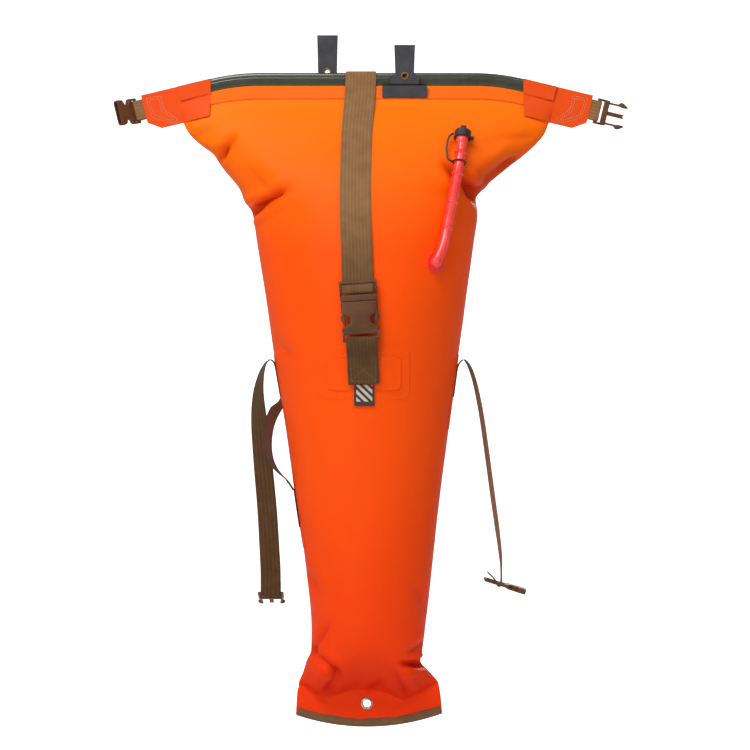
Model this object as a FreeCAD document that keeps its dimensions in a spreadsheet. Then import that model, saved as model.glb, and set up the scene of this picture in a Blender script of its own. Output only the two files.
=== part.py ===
import FreeCAD, Part
import math
import os
import Sketcher

# Kayak stow float: a tapered, inflatable dry bag that hangs from its closure.
# Millimetres, +Z up, +X to the bag's left-to-right as seen from its front (-Y).
# The origin is the middle of the closure's top edge.

V = FreeCAD.Vector
doc = FreeCAD.newDocument("StowFloat")
sheet = doc.addObject("Spreadsheet::Sheet", "sizes")

# Level of the inflated pouch: drop below the origin, half width, half depth.
levels = {
    "lip": (8, 239, 4.2),
    "header": (34, 238, 9),
    "yoke": (64, 228, 30),
    "shoulder": (92, 206, 50),
    "armpit": (118, 181, 69),
    "rib": (147, 153, 85),
    "chest": (178, 141, 96),
    "breast": (230, 131, 108),
    "belly": (284, 124, 112),
    "waist": (409, 106.5, 98),
    "hip": (534, 88.5, 82),
    "knee": (659, 73, 69),
    "calf": (710, 69, 61),
    "ankle": (736, 71, 47),
    "heel": (755, 80, 28),
    "toe": (767, 86, 5),
    "flange": (779, 89, 1.7),
    "edge": (822, 94, 1.7),
}
cavityLevels = list(levels)[: list(levels).index("flange")]

values = {
    # fabric
    "wall": 1.0, "sheet_gauge": 0.8, "skin_gap": 0.35,
    # closure: two interlocking rails with a straight middle and drooping ends
    "rail_height": 17.0, "rail_gauge": 4.6, "rail_flange": 1.4, "rail_straight": 134.0,
    "rail_bend": 261.0, "rail_droop": 13.5, "rail_tail": 42.0,
    "track_upper": 1.2, "track_lower": 9.4, "track_height": 6.2,
    "rib_inset": 2.2, "rib_height": 1.8, "rib_reach": 2.8, "rib_gap": 0.2,
    "band_height": 17.0,
    # end wings
    "wing_length": 90.0, "wing_depth": 45.5, "wing_end": 35.0, "wing_corner": 16.0,
    "wing_gauge": 1.2, "wing_lean": 12.0,
    # webbing
    "side_web": 25.4, "center_web": 38.1, "web_gauge": 1.6, "web_gap": 0.3,
    # buckles, small for 25 mm webbing and large for 38 mm
    "bar_radius": 1.9, "slot_gap": 4.4, "knuckle": 1.7, "knuckle_gap": 0.08,
    "small_margin": 3.4, "small_thick": 7.6, "small_plate": 3.8, "small_head": 7.0,
    "small_prong": 26.0, "small_shell": 28.0,
    "large_margin": 3.6, "large_thick": 9.6, "large_plate": 4.8, "large_head": 8.0,
    "large_prong": 32.0, "large_shell": 40.0,
    "prong_arm": 2.6, "catch": 2.9, "guide": 4.4, "guide_gauge": 1.8, "shell_wall": 1.6,
    "ladder_pitch": 8.6, "buckle_gap": 0.3,
    # where the buckles sit
    "center_x": -11.0, "center_tilt": 4.0, "center_buckle_drop": 265.5, "wing_reach": 9.5,
    "wing_turn": 50.0, "left_bar_drop": 652.0, "left_pitch": 20.0,
    "right_bar_drop": 638.0, "right_pitch": 17.0,
    # front patch and label
    "patch_width": 112.0, "patch_height": 65.0, "patch_drop": 375.5, "patch_corner": 8.0,
    "inner_width": 90.0, "inner_height": 42.0, "anchor_drop": 388.0,
    "label_width": 24.5, "label_height": 26.0,
    # back anchor
    "back_drop": 130.0, "back_patch": 80.0,
    # hem, its tape and the grommet
    "hem_radius": 215.0, "hem_drop": 816.0, "tape_height": 9.5, "tape_gauge": 1.1,
    "grommet_drop": 788.0, "grommet_hole": 4.75, "grommet_barrel": 5.6,
    "grommet_flange": 8.0, "grommet_gauge": 1.0, "washer_gauge": 0.9,
    # oral inflation tube
    "tube_outer": 6.3, "tube_bore": 3.6, "tube_mouth": 7.6, "tube_flange": 13.0,
    "tube_x": 84.0, "tube_drop": 240.0, "ring_gauge": 2.0, "cap_height": 9.0,
    "cap_wall": 2.0, "cap_gap": 0.3, "poppet_radius": 1.6,
    # pull tabs
    "tab_width": 26.0, "tab_rise": 34.0, "tab_gauge": 1.5, "tab_gap": 2.2,
    "tab_base": 56.0, "tab_back_base": 38.0, "tab_front_x": 47.0, "tab_back_x": -49.5,
    "tab_back_rise": 48.0,
    "tab_hinge_drop": 13.5, "tab_clear": 0.9, "tab_foot": 36.0, "tab_neck": 23.6,
    "eyelet_front_drop": 4.6, "eyelet_back_drop": -2.0,
    "eyelet_hole": 2.75, "eyelet_flange": 4.75, "eyelet_gauge": 0.7,
    # side straps and handle
    "patch_half": 22.0, "side_patch_top": 352.0, "left_patch_end": 592.0,
    "right_patch_end": 445.0, "hinge_drop": 366.0, "fold_rise": 7.8, "fold_out": 7.0,
    "anchor_end": 405.0, "handle_top": 410.0, "handle_foot": 519.0, "handle_end": 567.0,
}

row = 1
for level, (drop, wide, deep) in levels.items():
    values[level + "_drop"], values[level + "_wide"], values[level + "_deep"] = drop, wide, deep
for name, value in values.items():
    sheet.set("A%d" % row, name)
    sheet.set("B%d" % row, str(value))
    sheet.setAlias("B%d" % row, name)
    row += 1
doc.recompute()


def size(name):
    return float(sheet.get(name))


pieces = {}


def keep(obj, name):
    """Names a finished sub-part, which is then written to its own file."""
    obj.Label = name
    pieces[name] = obj
    return obj


def feature(name, shape, placement=None):
    """A sub-part whose shape comes from Part's own functions."""
    obj = doc.addObject("Part::Feature", name)
    obj.Shape = shape
    if placement:
        obj.Placement = placement
    return obj


def box(name, x, y, z, length, width, height):
    """A box between two corners: each number is an expression on the sheet."""
    obj = doc.addObject("Part::Box", name)
    cells = {"Length": length, "Width": width, "Height": height}
    cells.update({"Placement.Base.x": x, "Placement.Base.y": y, "Placement.Base.z": z})
    for prop, expression in cells.items():
        obj.setExpression(prop, str(expression))
    return obj


def rod(name, radius, height, x, y, z, turn=None):
    """A cylinder from a point, along Z unless turned."""
    obj = doc.addObject("Part::Cylinder", name)
    if turn:
        obj.Placement = FreeCAD.Placement(V(), turn)
    cells = {"Radius": radius, "Height": height}
    cells.update({"Placement.Base.x": x, "Placement.Base.y": y, "Placement.Base.z": z})
    for prop, expression in cells.items():
        obj.setExpression(prop, str(expression))
    return obj


alongY = FreeCAD.Rotation(V(1, 0, 0), -90)
alongX = FreeCAD.Rotation(V(0, 1, 0), 90)


def fuse(name, *shapes):
    obj = doc.addObject("Part::MultiFuse", name)
    obj.Shapes = list(shapes)
    obj.Refine = True
    return obj


def common(name, base, tool):
    obj = doc.addObject("Part::Common", name)
    obj.Base, obj.Tool = base, tool
    return obj


def cut(name, base, *tools):
    """Takes each tool from the base in turn."""
    for i, tool in enumerate(tools):
        obj = doc.addObject("Part::Cut", name if i == len(tools) - 1 else "%s_cut%d" % (name, i))
        obj.Base, obj.Tool = base, tool
        base = obj
    return base


def padded(name, points, depth, role="XZ_Plane", midplane=True):
    """A body with one padded outline; points and depth are expressions on the sheet."""
    body = doc.addObject("PartDesign::Body", name)
    outline = body.newObject("Sketcher::SketchObject", name + "_outline")
    plane = next(f for f in body.Origin.OriginFeatures if f.Role == role)
    outline.AttachmentSupport = [(plane, "")]
    outline.MapMode = "FlatFace"
    count = len(points)
    corners = [V(math.cos(2 * math.pi * i / count), math.sin(2 * math.pi * i / count), 0)
               for i in range(count)]
    for i in range(count):
        outline.addGeometry(Part.LineSegment(corners[i], corners[(i + 1) % count]), False)
    for i in range(count):
        outline.addConstraint(Sketcher.Constraint("Coincident", i, 2, (i + 1) % count, 1))
    for i, point in enumerate(points):
        for kind, expression in zip(("DistanceX", "DistanceY"), point):
            index = outline.addConstraint(Sketcher.Constraint(kind, -1, 1, i, 1, 1.0))
            outline.setExpression("Constraints[%d]" % index, str(expression))
    pad = body.newObject("PartDesign::Pad", name + "_pad")
    pad.Profile = outline
    pad.setExpression("Length", str(depth))
    pad.Midplane = midplane
    return body


# ---- the pouch as lofts through ellipses, one loft for each growth

grownLofts = {}


def grown(grow, names=tuple(levels)):
    """The pouch made larger all round by an expression, as a closed solid."""
    key = (grow, names)
    if key in grownLofts:
        return grownLofts[key]
    sections = []
    for name in names:
        ring = doc.addObject("Part::Ellipse", "%s_%d" % (name, len(grownLofts)))
        ring.setExpression("MajorRadius", "sizes.%s_wide + %s" % (name, grow))
        ring.setExpression("MinorRadius", "sizes.%s_deep + %s" % (name, grow))
        ring.setExpression("Placement.Base.z", "-sizes.%s_drop" % name)
        sections.append(ring)
    loft = doc.addObject("Part::Loft", "pouch_%d" % len(grownLofts))
    loft.Sections, loft.Solid, loft.Ruled = sections, True, True
    grownLofts[key] = loft
    return loft


def halves(drop):
    """Half width and half depth of the pouch at a drop below the origin."""
    names = list(levels)
    for above, below in zip(names, names[1:]):
        top, bottom = size(above + "_drop"), size(below + "_drop")
        if top <= drop <= bottom:
            share = (drop - top) / (bottom - top)
            return tuple(size(above + end) + share * (size(below + end) - size(above + end))
                         for end in ("_wide", "_deep"))
    raise ValueError("no pouch at %g" % drop)


def front(x, drop):
    """How far in front of the middle plane the pouch's face is."""
    wide, deep = halves(drop)
    return deep * math.sqrt(1 - (x / wide) ** 2)


def layer(name, inner, outer, cutter):
    """A sheet lying on the pouch between two growths, cut to an outline."""
    skin = cut(name + "_skin", grown(outer), grown(inner))
    return common(name, skin, cutter)


# ---- closure line: level middle, arcs, then straight drooping ends

droop = math.radians(size("rail_droop"))


def closureEdges(depth, tail):
    """The closure's line at a depth below its top edge, from left end to right end."""
    half, bend = size("rail_straight"), size("rail_bend")
    radius = bend - depth

    def at(angle):
        return V(half + radius * math.sin(angle), 0, -bend + radius * math.cos(angle))

    start, middle, end = V(half, 0, -depth), at(droop / 2), at(droop)
    tip = end + V(math.cos(droop), 0, -math.sin(droop)) * tail

    def mirrored(p):
        return V(-p.x, p.y, p.z)

    edges = [
        Part.Arc(mirrored(end), mirrored(middle), mirrored(start)).toShape(),
        Part.LineSegment(mirrored(start), start).toShape(),
        Part.Arc(start, middle, end).toShape(),
    ]
    if tail > 0:
        edges.insert(0, Part.LineSegment(mirrored(tip), mirrored(end)).toShape())
        edges.append(Part.LineSegment(end, tip).toShape())
    return edges


def closureBand(top, bottom, near, far, tail):
    """A strip that follows the closure between two depths, as thick as near to far in Y."""
    upper, lower = closureEdges(top, tail), closureEdges(bottom, tail)
    ends = [
        Part.LineSegment(upper[-1].Vertexes[-1].Point, lower[-1].Vertexes[-1].Point).toShape(),
        Part.LineSegment(lower[0].Vertexes[0].Point, upper[0].Vertexes[0].Point).toShape(),
    ]
    edges = Part.sortEdges(upper + lower + ends)[0]
    face = Part.Face(Part.Wire(edges))
    face.translate(V(0, near, 0))
    return face.extrude(V(0, far - near, 0)).removeSplitter()


railHeight, railGauge, flange = size("rail_height"), size("rail_gauge"), size("rail_flange")
tail = size("rail_tail")
ribTops = [size(track) + size("rib_inset") for track in ("track_upper", "track_lower")]


def rail(name, side):
    """One half of the closure: a flange with two raised tracks on its outer face."""
    shape = closureBand(0, railHeight, 0, side * flange, tail)
    for track in ("track_upper", "track_lower"):
        top = size(track)
        bottom = top + size("track_height")
        shape = shape.fuse(closureBand(top, bottom, side * flange / 2, side * railGauge, tail))
    for top in ribTops:
        bottom = top + size("rib_height")
        gap = size("rib_gap")
        if side > 0:
            shape = shape.fuse(closureBand(top, bottom, flange / 2, -size("rib_reach"), tail))
        else:
            groove = closureBand(top - gap, bottom + gap, 1, -size("rib_reach") - gap, tail + 1)
            shape = shape.cut(groove)
    return keep(feature(name, shape.removeSplitter()), name)


rail("rail_front", -1)
rail("rail_back", 1)

# ---- panels: front and back halves of the shell, cut to the closure and to the hem

overClosure = feature("over_closure", closureBand(-60, railHeight, -150, 150, 150))


def hemFace(rise, reach=130):
    """Everything below the hem's curve, raised by a distance."""
    radius, low = size("hem_radius") + 60, -size("hem_drop") + rise
    side = math.sqrt(radius ** 2 - reach ** 2)
    left, right = V(-reach, 0, low + radius - side), V(reach, 0, low + radius - side)
    arc = Part.Arc(left, V(0, 0, low), right).toShape()
    corners = [right, V(reach, 0, low - 60), V(-reach, 0, low - 60), left]
    edges = [arc] + [Part.LineSegment(p, q).toShape() for p, q in zip(corners, corners[1:])]
    return Part.Face(Part.Wire(edges))


def hemBlock(rise, half):
    face = hemFace(rise)
    face.translate(V(0, -half, 0))
    return face.extrude(V(0, 2 * half, 0))


belowHem = feature("below_hem", hemBlock(0, 60))
grommetAt = "-sizes.grommet_drop"
cavity = grown("(-sizes.wall)", tuple(cavityLevels))
shell = cut("shell", grown("0"), cavity, overClosure, belowHem)
grommetBore = rod("grommet_bore", "sizes.grommet_barrel", 60, 0, -30, grommetAt, alongY)
pierced = cut("pierced_shell", shell, grommetBore)
for side, name in ((-1, "front_panel"), (1, "back_panel")):
    half = box(name + "_half", -300, "-200" if side < 0 else "0", -900, 600, 200, 900)
    keep(common(name, pierced, half), name)

# ---- bands welded under the closure

for side, name in ((-1, "header_band_front"), (1, "header_band_back")):
    strip = closureBand(railHeight, railHeight + size("band_height"), 0, side * 60, 0)
    keep(layer(name, "0", "sizes.sheet_gauge", feature(name + "_strip", strip)), name)

# ---- end wings, with the webbing that holds their buckles


def route(points, radii=None):
    """Straight runs joined by tangent arcs; a free cord's arcs are as large as its runs allow."""
    points = [V(*p) for p in points]
    edges, start = [], points[0]
    for i in range(1, len(points) - 1):
        before, corner, after = points[i - 1], points[i], points[i + 1]
        arrive, leave = (corner - before), (after - corner)
        turn = arrive.getAngle(leave)
        if radii is None:
            radius = 0.45 * min(arrive.Length, leave.Length) / math.tan(turn / 2)
        else:
            radius = radii[i - 1]
        trim = radius * math.tan(turn / 2)
        first = corner - V(arrive).normalize() * trim
        last = corner + V(leave).normalize() * trim
        toCentre = (V(leave).normalize() - V(arrive).normalize()).normalize()
        middle = corner + toCentre * (radius / math.cos(turn / 2) - radius)
        if (first - start).Length > 1e-6:
            edges.append(Part.LineSegment(start, first).toShape())
        edges.append(Part.Arc(first, middle, last).toShape())
        start = last
    if (points[-1] - start).Length > 1e-6:
        edges.append(Part.LineSegment(start, points[-1]).toShape())
    return Part.Wire(edges)


def ribbon(wire, width, gauge, across):
    """Webbing along a flat wire, its width across the wire's plane."""
    edge = wire.Edges[0]
    at, along = edge.Vertexes[0].Point, edge.tangentAt(edge.FirstParameter).normalize()
    across = V(across).normalize()
    up = along.cross(across)
    corners = [at + across * (width / 2 * a) + up * (gauge / 2 * b)
               for a, b in ((-1, -1), (1, -1), (1, 1), (-1, 1))]
    profile = Part.makePolygon(corners + corners[:1])
    solid = wire.makePipeShell([profile], True, False)
    expected = width * gauge * wire.Length
    if abs(solid.Volume - expected) > 0.03 * expected:
        raise ValueError("a ribbon's volume is %.0f, not %.0f" % (solid.Volume, expected))
    return solid


webGauge, webGap, barRadius = size("web_gauge"), size("web_gap"), size("bar_radius")
loopRadius = barRadius + webGap + webGauge / 2
railBend = size("rail_bend")
wingTop = V(size("rail_straight") + railBend * math.sin(droop), 0,
            -railBend * (1 - math.cos(droop)))


def wingFrame(side):
    """Along the wing, in front of it, and down across it: a frame turned by the droop."""
    turn = FreeCAD.Rotation(V(0, 1, 0), math.degrees(droop))
    return FreeCAD.Placement(V(wingTop.x, 0, wingTop.z), turn)


def mirroredX(shape):
    return shape.mirror(V(), V(1, 0, 0))


webMiddle = size("wing_end") / 2
barAlong = size("wing_length") + size("wing_reach")


def wingOutline(half):
    """The wing's outline as a prism: square top, slanted inner edge, cut lower corner."""
    length, depth, corner = size("wing_length"), size("wing_depth"), size("wing_corner")
    points = [V(0, -half, 0), V(length, -half, 0), V(length, -half, -size("wing_end")),
              V(length - corner, -half, -depth), V(size("wing_lean"), -half, -depth)]
    face = Part.Face(Part.makePolygon(points + points[:1]))
    return face.extrude(V(0, 2 * half, 0))


def webLoop():
    """Two plies in the wing that open into a loop round the buckle's bar."""
    ply = webGauge / 2 + 0.1
    inner = size("wing_length") - 38
    spread = size("wing_length") - 3
    points = [(inner, ply, 0), (spread, ply, 0), (barAlong - 2.5, loopRadius, 0),
              (barAlong + loopRadius, loopRadius, 0), (barAlong + loopRadius, -loopRadius, 0),
              (barAlong - 2.5, -loopRadius, 0), (spread, -ply, 0), (inner, -ply, 0)]
    points = [(x, y, -webMiddle) for x, y, z in points]
    gentle = 6.0
    radii = [gentle, gentle, loopRadius * 0.999, loopRadius * 0.999, gentle, gentle]
    return ribbon(route(points, radii), size("side_web"), webGauge, V(0, 0, 1))


def wingShapes():
    """The right wing's cover and webbing, in the bag's frame."""
    frame = wingFrame(1)
    web = webLoop()
    web.Placement = frame
    outline = wingOutline(60)
    outline.Placement = frame
    slab = wingOutline(webGauge + size("wing_gauge") + 0.2)
    slab.Placement = frame
    reach = size("rail_gauge") + size("wing_gauge")
    cover = closureBand(-size("wing_gauge"), railHeight + size("wing_gauge"), -reach, reach,
                        size("rail_tail") + size("wing_gauge"))
    railSpace = closureBand(0, railHeight, -size("rail_gauge"), size("rail_gauge"),
                            size("rail_tail"))
    return web, outline, slab, cover, railSpace


underWing, overWing = grown("0"), grown("sizes.wing_gauge")
doc.recompute()
web, outline, slab, cover, railSpace = wingShapes()
pouchOuter = underWing.Shape
wing = slab.fuse([cover, overWing.Shape]).common(outline).cut(pouchOuter).cut(railSpace).cut(web)
wing = Part.Compound([solid for solid in wing.Solids if solid.Volume > 5])
for side, name in ((-1, "left"), (1, "right")):
    for shape, part in ((wing, "wing"), (web, "wing_web")):
        placed = shape if side > 0 else mirroredX(shape)
        solid = placed.Solids[0] if len(placed.Solids) == 1 else placed
        keep(feature("%s_%s" % (part, name), solid), "%s_%s" % (part, name))

# ---- side release buckles, in a frame with X towards the mating half, Z across the webbing


def wideParts(kind):
    """Half of the slot and half of the buckle's width, as expressions."""
    web = "sizes.side_web" if kind == "small" else "sizes.center_web"
    return "(%s / 2 + 0.6)" % web, "(%s / 2 + sizes.%s_margin)" % (web, kind)


def headEnd(kind, ladder):
    """How far the male frame's front face is from its first bar."""
    extra = size("ladder_pitch") if ladder else 0
    return extra + barRadius + size("slot_gap") + size(kind + "_head")


def mouthEnd(kind):
    """How far the female's mouth is from its bar."""
    return barRadius + size("slot_gap") + size(kind + "_shell")


def maleBuckle(name, kind, ladder, placement):
    """A frame with web bars and a centre guide, and two prongs that hinge in its head."""
    slotHalf, half = wideParts(kind)
    plate = "sizes.%s_plate" % kind
    first = "sizes.ladder_pitch" if ladder else "0"
    headStart = "(%s + sizes.bar_radius + sizes.slot_gap)" % first
    head = "(%s + sizes.%s_head)" % (headStart, kind)
    solids = [rod(name + "_bar0", "sizes.bar_radius", "2 * " + half, 0, 0, "-" + half)]
    if ladder:
        solids.append(rod(name + "_bar1", "sizes.bar_radius", "2 * " + half,
                          first, 0, "-" + half))
    for i, low in enumerate(("-" + half, slotHalf)):
        solids.append(box("%s_arm%d" % (name, i), 0, "-%s / 2" % plate, low,
                          headStart, plate, "%s - %s" % (half, slotHalf)))
    solids.append(box(name + "_head", headStart, "-%s / 2" % plate, "-" + half,
                      "sizes.%s_head" % kind, plate, "2 * " + half))
    solids.append(box(name + "_guide", head + " - 0.5", "-sizes.guide_gauge / 2",
                      "-sizes.guide / 2", "sizes.%s_prong - 5" % kind,
                      "sizes.guide_gauge", "sizes.guide"))
    pivot = "(%s - sizes.knuckle - 1)" % head
    root = "(%s - sizes.knuckle - 1.6)" % half
    tools = []
    for i, sign in enumerate(("", "-")):
        tools.append(rod("%s_socket%d" % (name, i), "sizes.knuckle + sizes.knuckle_gap", 20,
                         pivot, -10, sign + root, alongY))
        low = root + " - sizes.prong_arm / 2 - 0.8" if not sign else \
            "-" + root + " - sizes.prong_arm / 2 - 0.15"
        tools.append(box("%s_opening%d" % (name, i), pivot, -10, low,
                         10, 20, "sizes.prong_arm + 0.95"))
    frame = keep(cut(name, fuse(name + "_solid", *solids), *tools), name)
    frame.Placement = placement
    for i, (side, sign) in enumerate((("upper", 1), ("lower", -1))):
        arm, length = "sizes.prong_arm / 2", "sizes.%s_prong" % kind
        edge = [(pivot, "%s - %s" % (root, arm)),
                ("%s + %s - 8" % (pivot, length), "%s - %s" % (root, arm)),
                ("%s + %s" % (pivot, length), root + " - 0.3"),
                ("%s + %s - 0.8" % (pivot, length), root + " + 0.9"),
                ("%s + %s - 8.5" % (pivot, length), root + " + sizes.catch"),
                ("%s + %s - 9.5" % (pivot, length), root + " + sizes.catch"),
                ("%s + %s - 9.5" % (pivot, length), "%s + %s" % (root, arm)),
                (pivot, "%s + %s" % (root, arm))]
        if sign < 0:
            edge = [(x, "-(%s)" % z) for x, z in reversed(edge)]
        depth = "%s - 0.4" % plate
        part = "%s_prong_%s" % (name, side)
        blade = padded(part + "_blade", edge, depth)
        pin = rod(part + "_pin", "sizes.knuckle", depth, pivot, "-(%s) / 2" % depth,
                  ("" if sign > 0 else "-") + root, alongY)
        prong = keep(fuse(part, blade, pin), part)
        prong.Placement = placement
    return frame


def femaleBuckle(name, kind, bars, placement):
    """A hollow body with side windows, a web bar, and any number of ladder bars behind it."""
    slotHalf, half = wideParts(kind)
    thick, plate = "sizes.%s_thick" % kind, "sizes.%s_plate" % kind
    start = "(sizes.bar_radius + sizes.slot_gap)"
    mouth = "(%s + sizes.%s_shell)" % (start, kind)
    back = "(sizes.ladder_pitch * %d)" % bars
    solids = [rod("%s_bar%d" % (name, i), "sizes.bar_radius", "2 * " + half,
                  "-sizes.ladder_pitch * %d" % i, 0, "-" + half) for i in range(bars + 1)]
    for i, low in enumerate(("-" + half, slotHalf)):
        solids.append(box("%s_arm%d" % (name, i), "-" + back, "-%s / 2" % plate, low,
                          "%s + %s" % (start, back), plate, "%s - %s" % (half, slotHalf)))
    solids.append(box(name + "_body", start, "-%s / 2" % thick, "-" + half,
                      "sizes.%s_shell" % kind, thick, "2 * " + half))
    reach = "(sizes.%s_prong - sizes.knuckle - 1)" % kind
    wall = "sizes.shell_wall"
    tools = [
        box(name + "_cavity", "%s - %s - 1.2" % (mouth, reach), "-(%s / 2 - %s)" % (thick, wall),
            "-(%s - %s)" % (half, wall), reach + " + 5", "%s - 2 * %s" % (thick, wall),
            "2 * (%s - %s)" % (half, wall)),
        box(name + "_window", "%s - %s - 0.2" % (mouth, reach),
            "-(%s / 2 - %s)" % (thick, wall), "-" + half + " - 1", 11,
            "%s - 2 * %s" % (thick, wall), "2 * %s + 2" % half),
    ]
    shell = keep(cut(name, fuse(name + "_solid", *solids), *tools), name)
    shell.Placement = placement
    return shell


def pose(origin, x, z):
    """A placement that puts local X and Z along two directions of the bag."""
    x, z = V(*x).normalize(), V(*z).normalize()
    return FreeCAD.Placement(V(*origin), FreeCAD.Rotation(x, z.cross(x), z, "XYZ"))


def pivotLine(name, placement, local, axis=(0, 0, 1)):
    """Prints a hinge's place and direction in the bag's frame."""
    place, along = placement.multVec(V(*local)), placement.Rotation.multVec(V(*axis))
    print("pivot", name, [round(x, 3) for x in place], [round(x, 5) for x in along])


def prongPivots(name, kind, ladder, placement):
    slot = size("side_web" if kind == "small" else "center_web") / 2
    root = slot + size(kind + "_margin") - size("knuckle") - 1.6
    x = headEnd(kind, ladder) - size("knuckle") - 1
    for side, sign in (("upper", 1), ("lower", -1)):
        pivotLine("%s_prong_%s" % (name, side), placement, (x, 0, sign * root), (0, sign, 0))


c, s = math.cos(droop), math.sin(droop)
barRight = wingFrame(1).multVec(V(barAlong, 0, -webMiddle))
wingMale = pose(barRight, (c, 0, -s), (s, 0, c))
maleBuckle("wing_buckle_male", "small", False, wingMale)
turn = math.radians(size("wing_turn"))
wingFemale = pose((-barRight.x, 0, barRight.z),
                  (-c * math.cos(turn), -math.sin(turn), -s * math.cos(turn)), (-s, 0, c))
femaleBuckle("wing_buckle_female", "small", 0, wingFemale)

tilt = math.radians(size("center_tilt"))
down = V(math.sin(tilt), 0, -math.cos(tilt))
acrossCenter = V(math.cos(tilt), 0, math.sin(tilt))
deepest = max(size(level + "_deep") for level in levels)
centerY = -(deepest + size("large_thick") / 2 + 1.2)
maleOrigin = V(size("center_x"), centerY, -size("center_buckle_drop"))
centerMale = pose(maleOrigin, down, acrossCenter)
maleBuckle("center_buckle_male", "large", True, centerMale)
between = headEnd("large", True) + size("buckle_gap") + mouthEnd("large")
femaleOrigin = maleOrigin + down * between
centerFemale = pose(femaleOrigin, -down, -acrossCenter)
femaleBuckle("center_buckle_female", "large", 0, centerFemale)

# ---- centre strap, over the closure from the back and sewn to the front patch

clear = 1.6 + size("sheet_gauge")
webWide = size("center_web")
bandEnd = railHeight + size("band_height")
nearRail = railGauge + webGap + webGauge / 2
overRail = webGap + webGauge / 2
backDrops = [size(level + "_drop") for level in ("rib", "armpit", "shoulder", "yoke")]
frontDrops = [size(level + "_drop") for level in ("yoke", "shoulder", "armpit", "rib", "chest")]
frontDrops.append(size("breast_drop") - 8)
backDeep = [front(0, drop) + clear + size("sheet_gauge") for drop in backDrops]
path = [(0, y, -drop) for y, drop in zip(backDeep, backDrops)]
path += [(0, 12.5, -bandEnd), (0, nearRail, -railHeight + 9), (0, nearRail, overRail),
         (0, -nearRail, overRail), (0, -nearRail, -railHeight + 9), (0, -12.5, -bandEnd)]
path += [(0, -front(0, drop) - clear, -drop) for drop in frontDrops]
turnOver = 2.4
radii = []
for i in range(1, len(path) - 1):
    before, corner, after = V(*path[i - 1]), V(*path[i]), V(*path[i + 1])
    angle = (corner - before).getAngle(after - corner)
    shorter = min((corner - before).Length, (after - corner).Length)
    radii.append(turnOver if angle > 1.2 else 0.45 * shorter / math.tan(angle / 2))
upper = ribbon(route(path, radii), webWide, webGauge, V(1, 0, 0))
upper.translate(V(size("center_x"), 0, 0))
lastFront = path[-1]
tailRise = 8.0
local = centerMale.inverse()
joinAt = local.multVec(V(size("center_x"), lastFront[1], lastFront[2] + 1.5))
loop = [(joinAt.x, joinAt.y, 0), (-9, loopRadius, 0), (loopRadius, loopRadius, 0),
        (loopRadius, -loopRadius, 0), (-tailRise, -loopRadius, 0)]
side = 1 if joinAt.y > 0 else -1
loop = [(x, y if i == 0 else side * y, z) for i, (x, y, z) in enumerate(loop)]
loopWeb = ribbon(route(loop, [20, loopRadius * 0.999, loopRadius * 0.999]),
                 webWide, webGauge, V(0, 0, 1))
loopWeb.Placement = centerMale
keep(feature("center_strap_upper", upper.fuse(loopWeb).removeSplitter()), "center_strap_upper")

local = centerFemale.inverse()
patchTop = 1.4 + 2 * size("sheet_gauge")
patchAt = [local.multVec(V(femaleOrigin.x, -front(0, drop) - patchTop, -drop))
           for drop in (size("anchor_drop"), size("patch_drop") - size("inner_height") / 2)]
inner = [(p.x, p.y, 0) for p in patchAt]
toBag = 1 if patchAt[0].y > 0 else -1
ply = toBag * (webGauge + 0.15)
outerPly = [(x, y - ply, 0) for x, y, z in inner]
loop = inner + [(-3.5, toBag * loopRadius, 0), (loopRadius, toBag * loopRadius, 0),
                (loopRadius, -toBag * loopRadius, 0), (-6, -toBag * loopRadius, 0)]
loop += [outerPly[1], outerPly[0]]
lowerWeb = ribbon(route(loop, [12, 6, loopRadius * 0.999, loopRadius * 0.999, 6, 12]),
                  webWide, webGauge, V(0, 0, 1))
lowerWeb.Placement = centerFemale
keep(feature("center_strap_lower", lowerWeb), "center_strap_lower")

# ---- patches, anchor on the back and the label


def rounded(name, width, height, drop, x, side, corner):
    """A block with rounded corners through one face of the pouch."""
    block = box(name + "_block", "%s - %s / 2" % (x, width), "-200" if side < 0 else "0",
                "-(%s) - %s / 2" % (drop, height), width, 200, height)
    doc.recompute()
    soft = doc.addObject("Part::Fillet", name + "_outline")
    soft.Base = block
    radius = size(corner)
    soft.Edges = [(i + 1, radius, radius) for i, edge in enumerate(block.Shape.Edges)
                  if abs(edge.tangentAt(0).y) > 0.9]
    return soft


one, two = "sizes.sheet_gauge", "sizes.sheet_gauge * 2"
patchX = "(sizes.center_x + 8)"
keep(layer("front_patch", "0", one,
           rounded("front_patch", "sizes.patch_width", "sizes.patch_height",
                   "sizes.patch_drop", patchX, -1, "patch_corner")), "front_patch")
keep(layer("front_patch_top", one, two,
           rounded("front_patch_top", "sizes.inner_width", "sizes.inner_height",
                   "sizes.patch_drop", patchX, -1, "patch_corner")), "front_patch_top")
keep(layer("back_patch", "0", one,
           rounded("back_patch", "sizes.back_patch", "sizes.back_patch",
                   "sizes.back_drop", "sizes.center_x", 1, "patch_corner")), "back_patch")
labelBox = box("label_block", "sizes.center_x + 8 - sizes.label_width / 2", -200,
               "-sizes.anchor_drop - 1 - sizes.label_height", "sizes.label_width", 200,
               "sizes.label_height")
keep(layer("label", two + " + 0.1", two + " + 0.9", labelBox), "label")
for side, end in (("left", "sizes.left_patch_end"), ("right", "sizes.right_patch_end")):
    block = box("side_patch_%s_block" % side, -200 if side == "left" else 0,
                "-sizes.patch_half", "-" + end, 200, "2 * sizes.patch_half",
                end + " - sizes.side_patch_top")
    keep(layer("side_patch_" + side, "0", one, block), "side_patch_" + side)

# ---- side straps and handle: webbing that stands on edge at the seam

offSeam = size("sheet_gauge") + size("skin_gap") + webGauge / 2


def seam(drop):
    return halves(drop)[0] + offSeam


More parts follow.
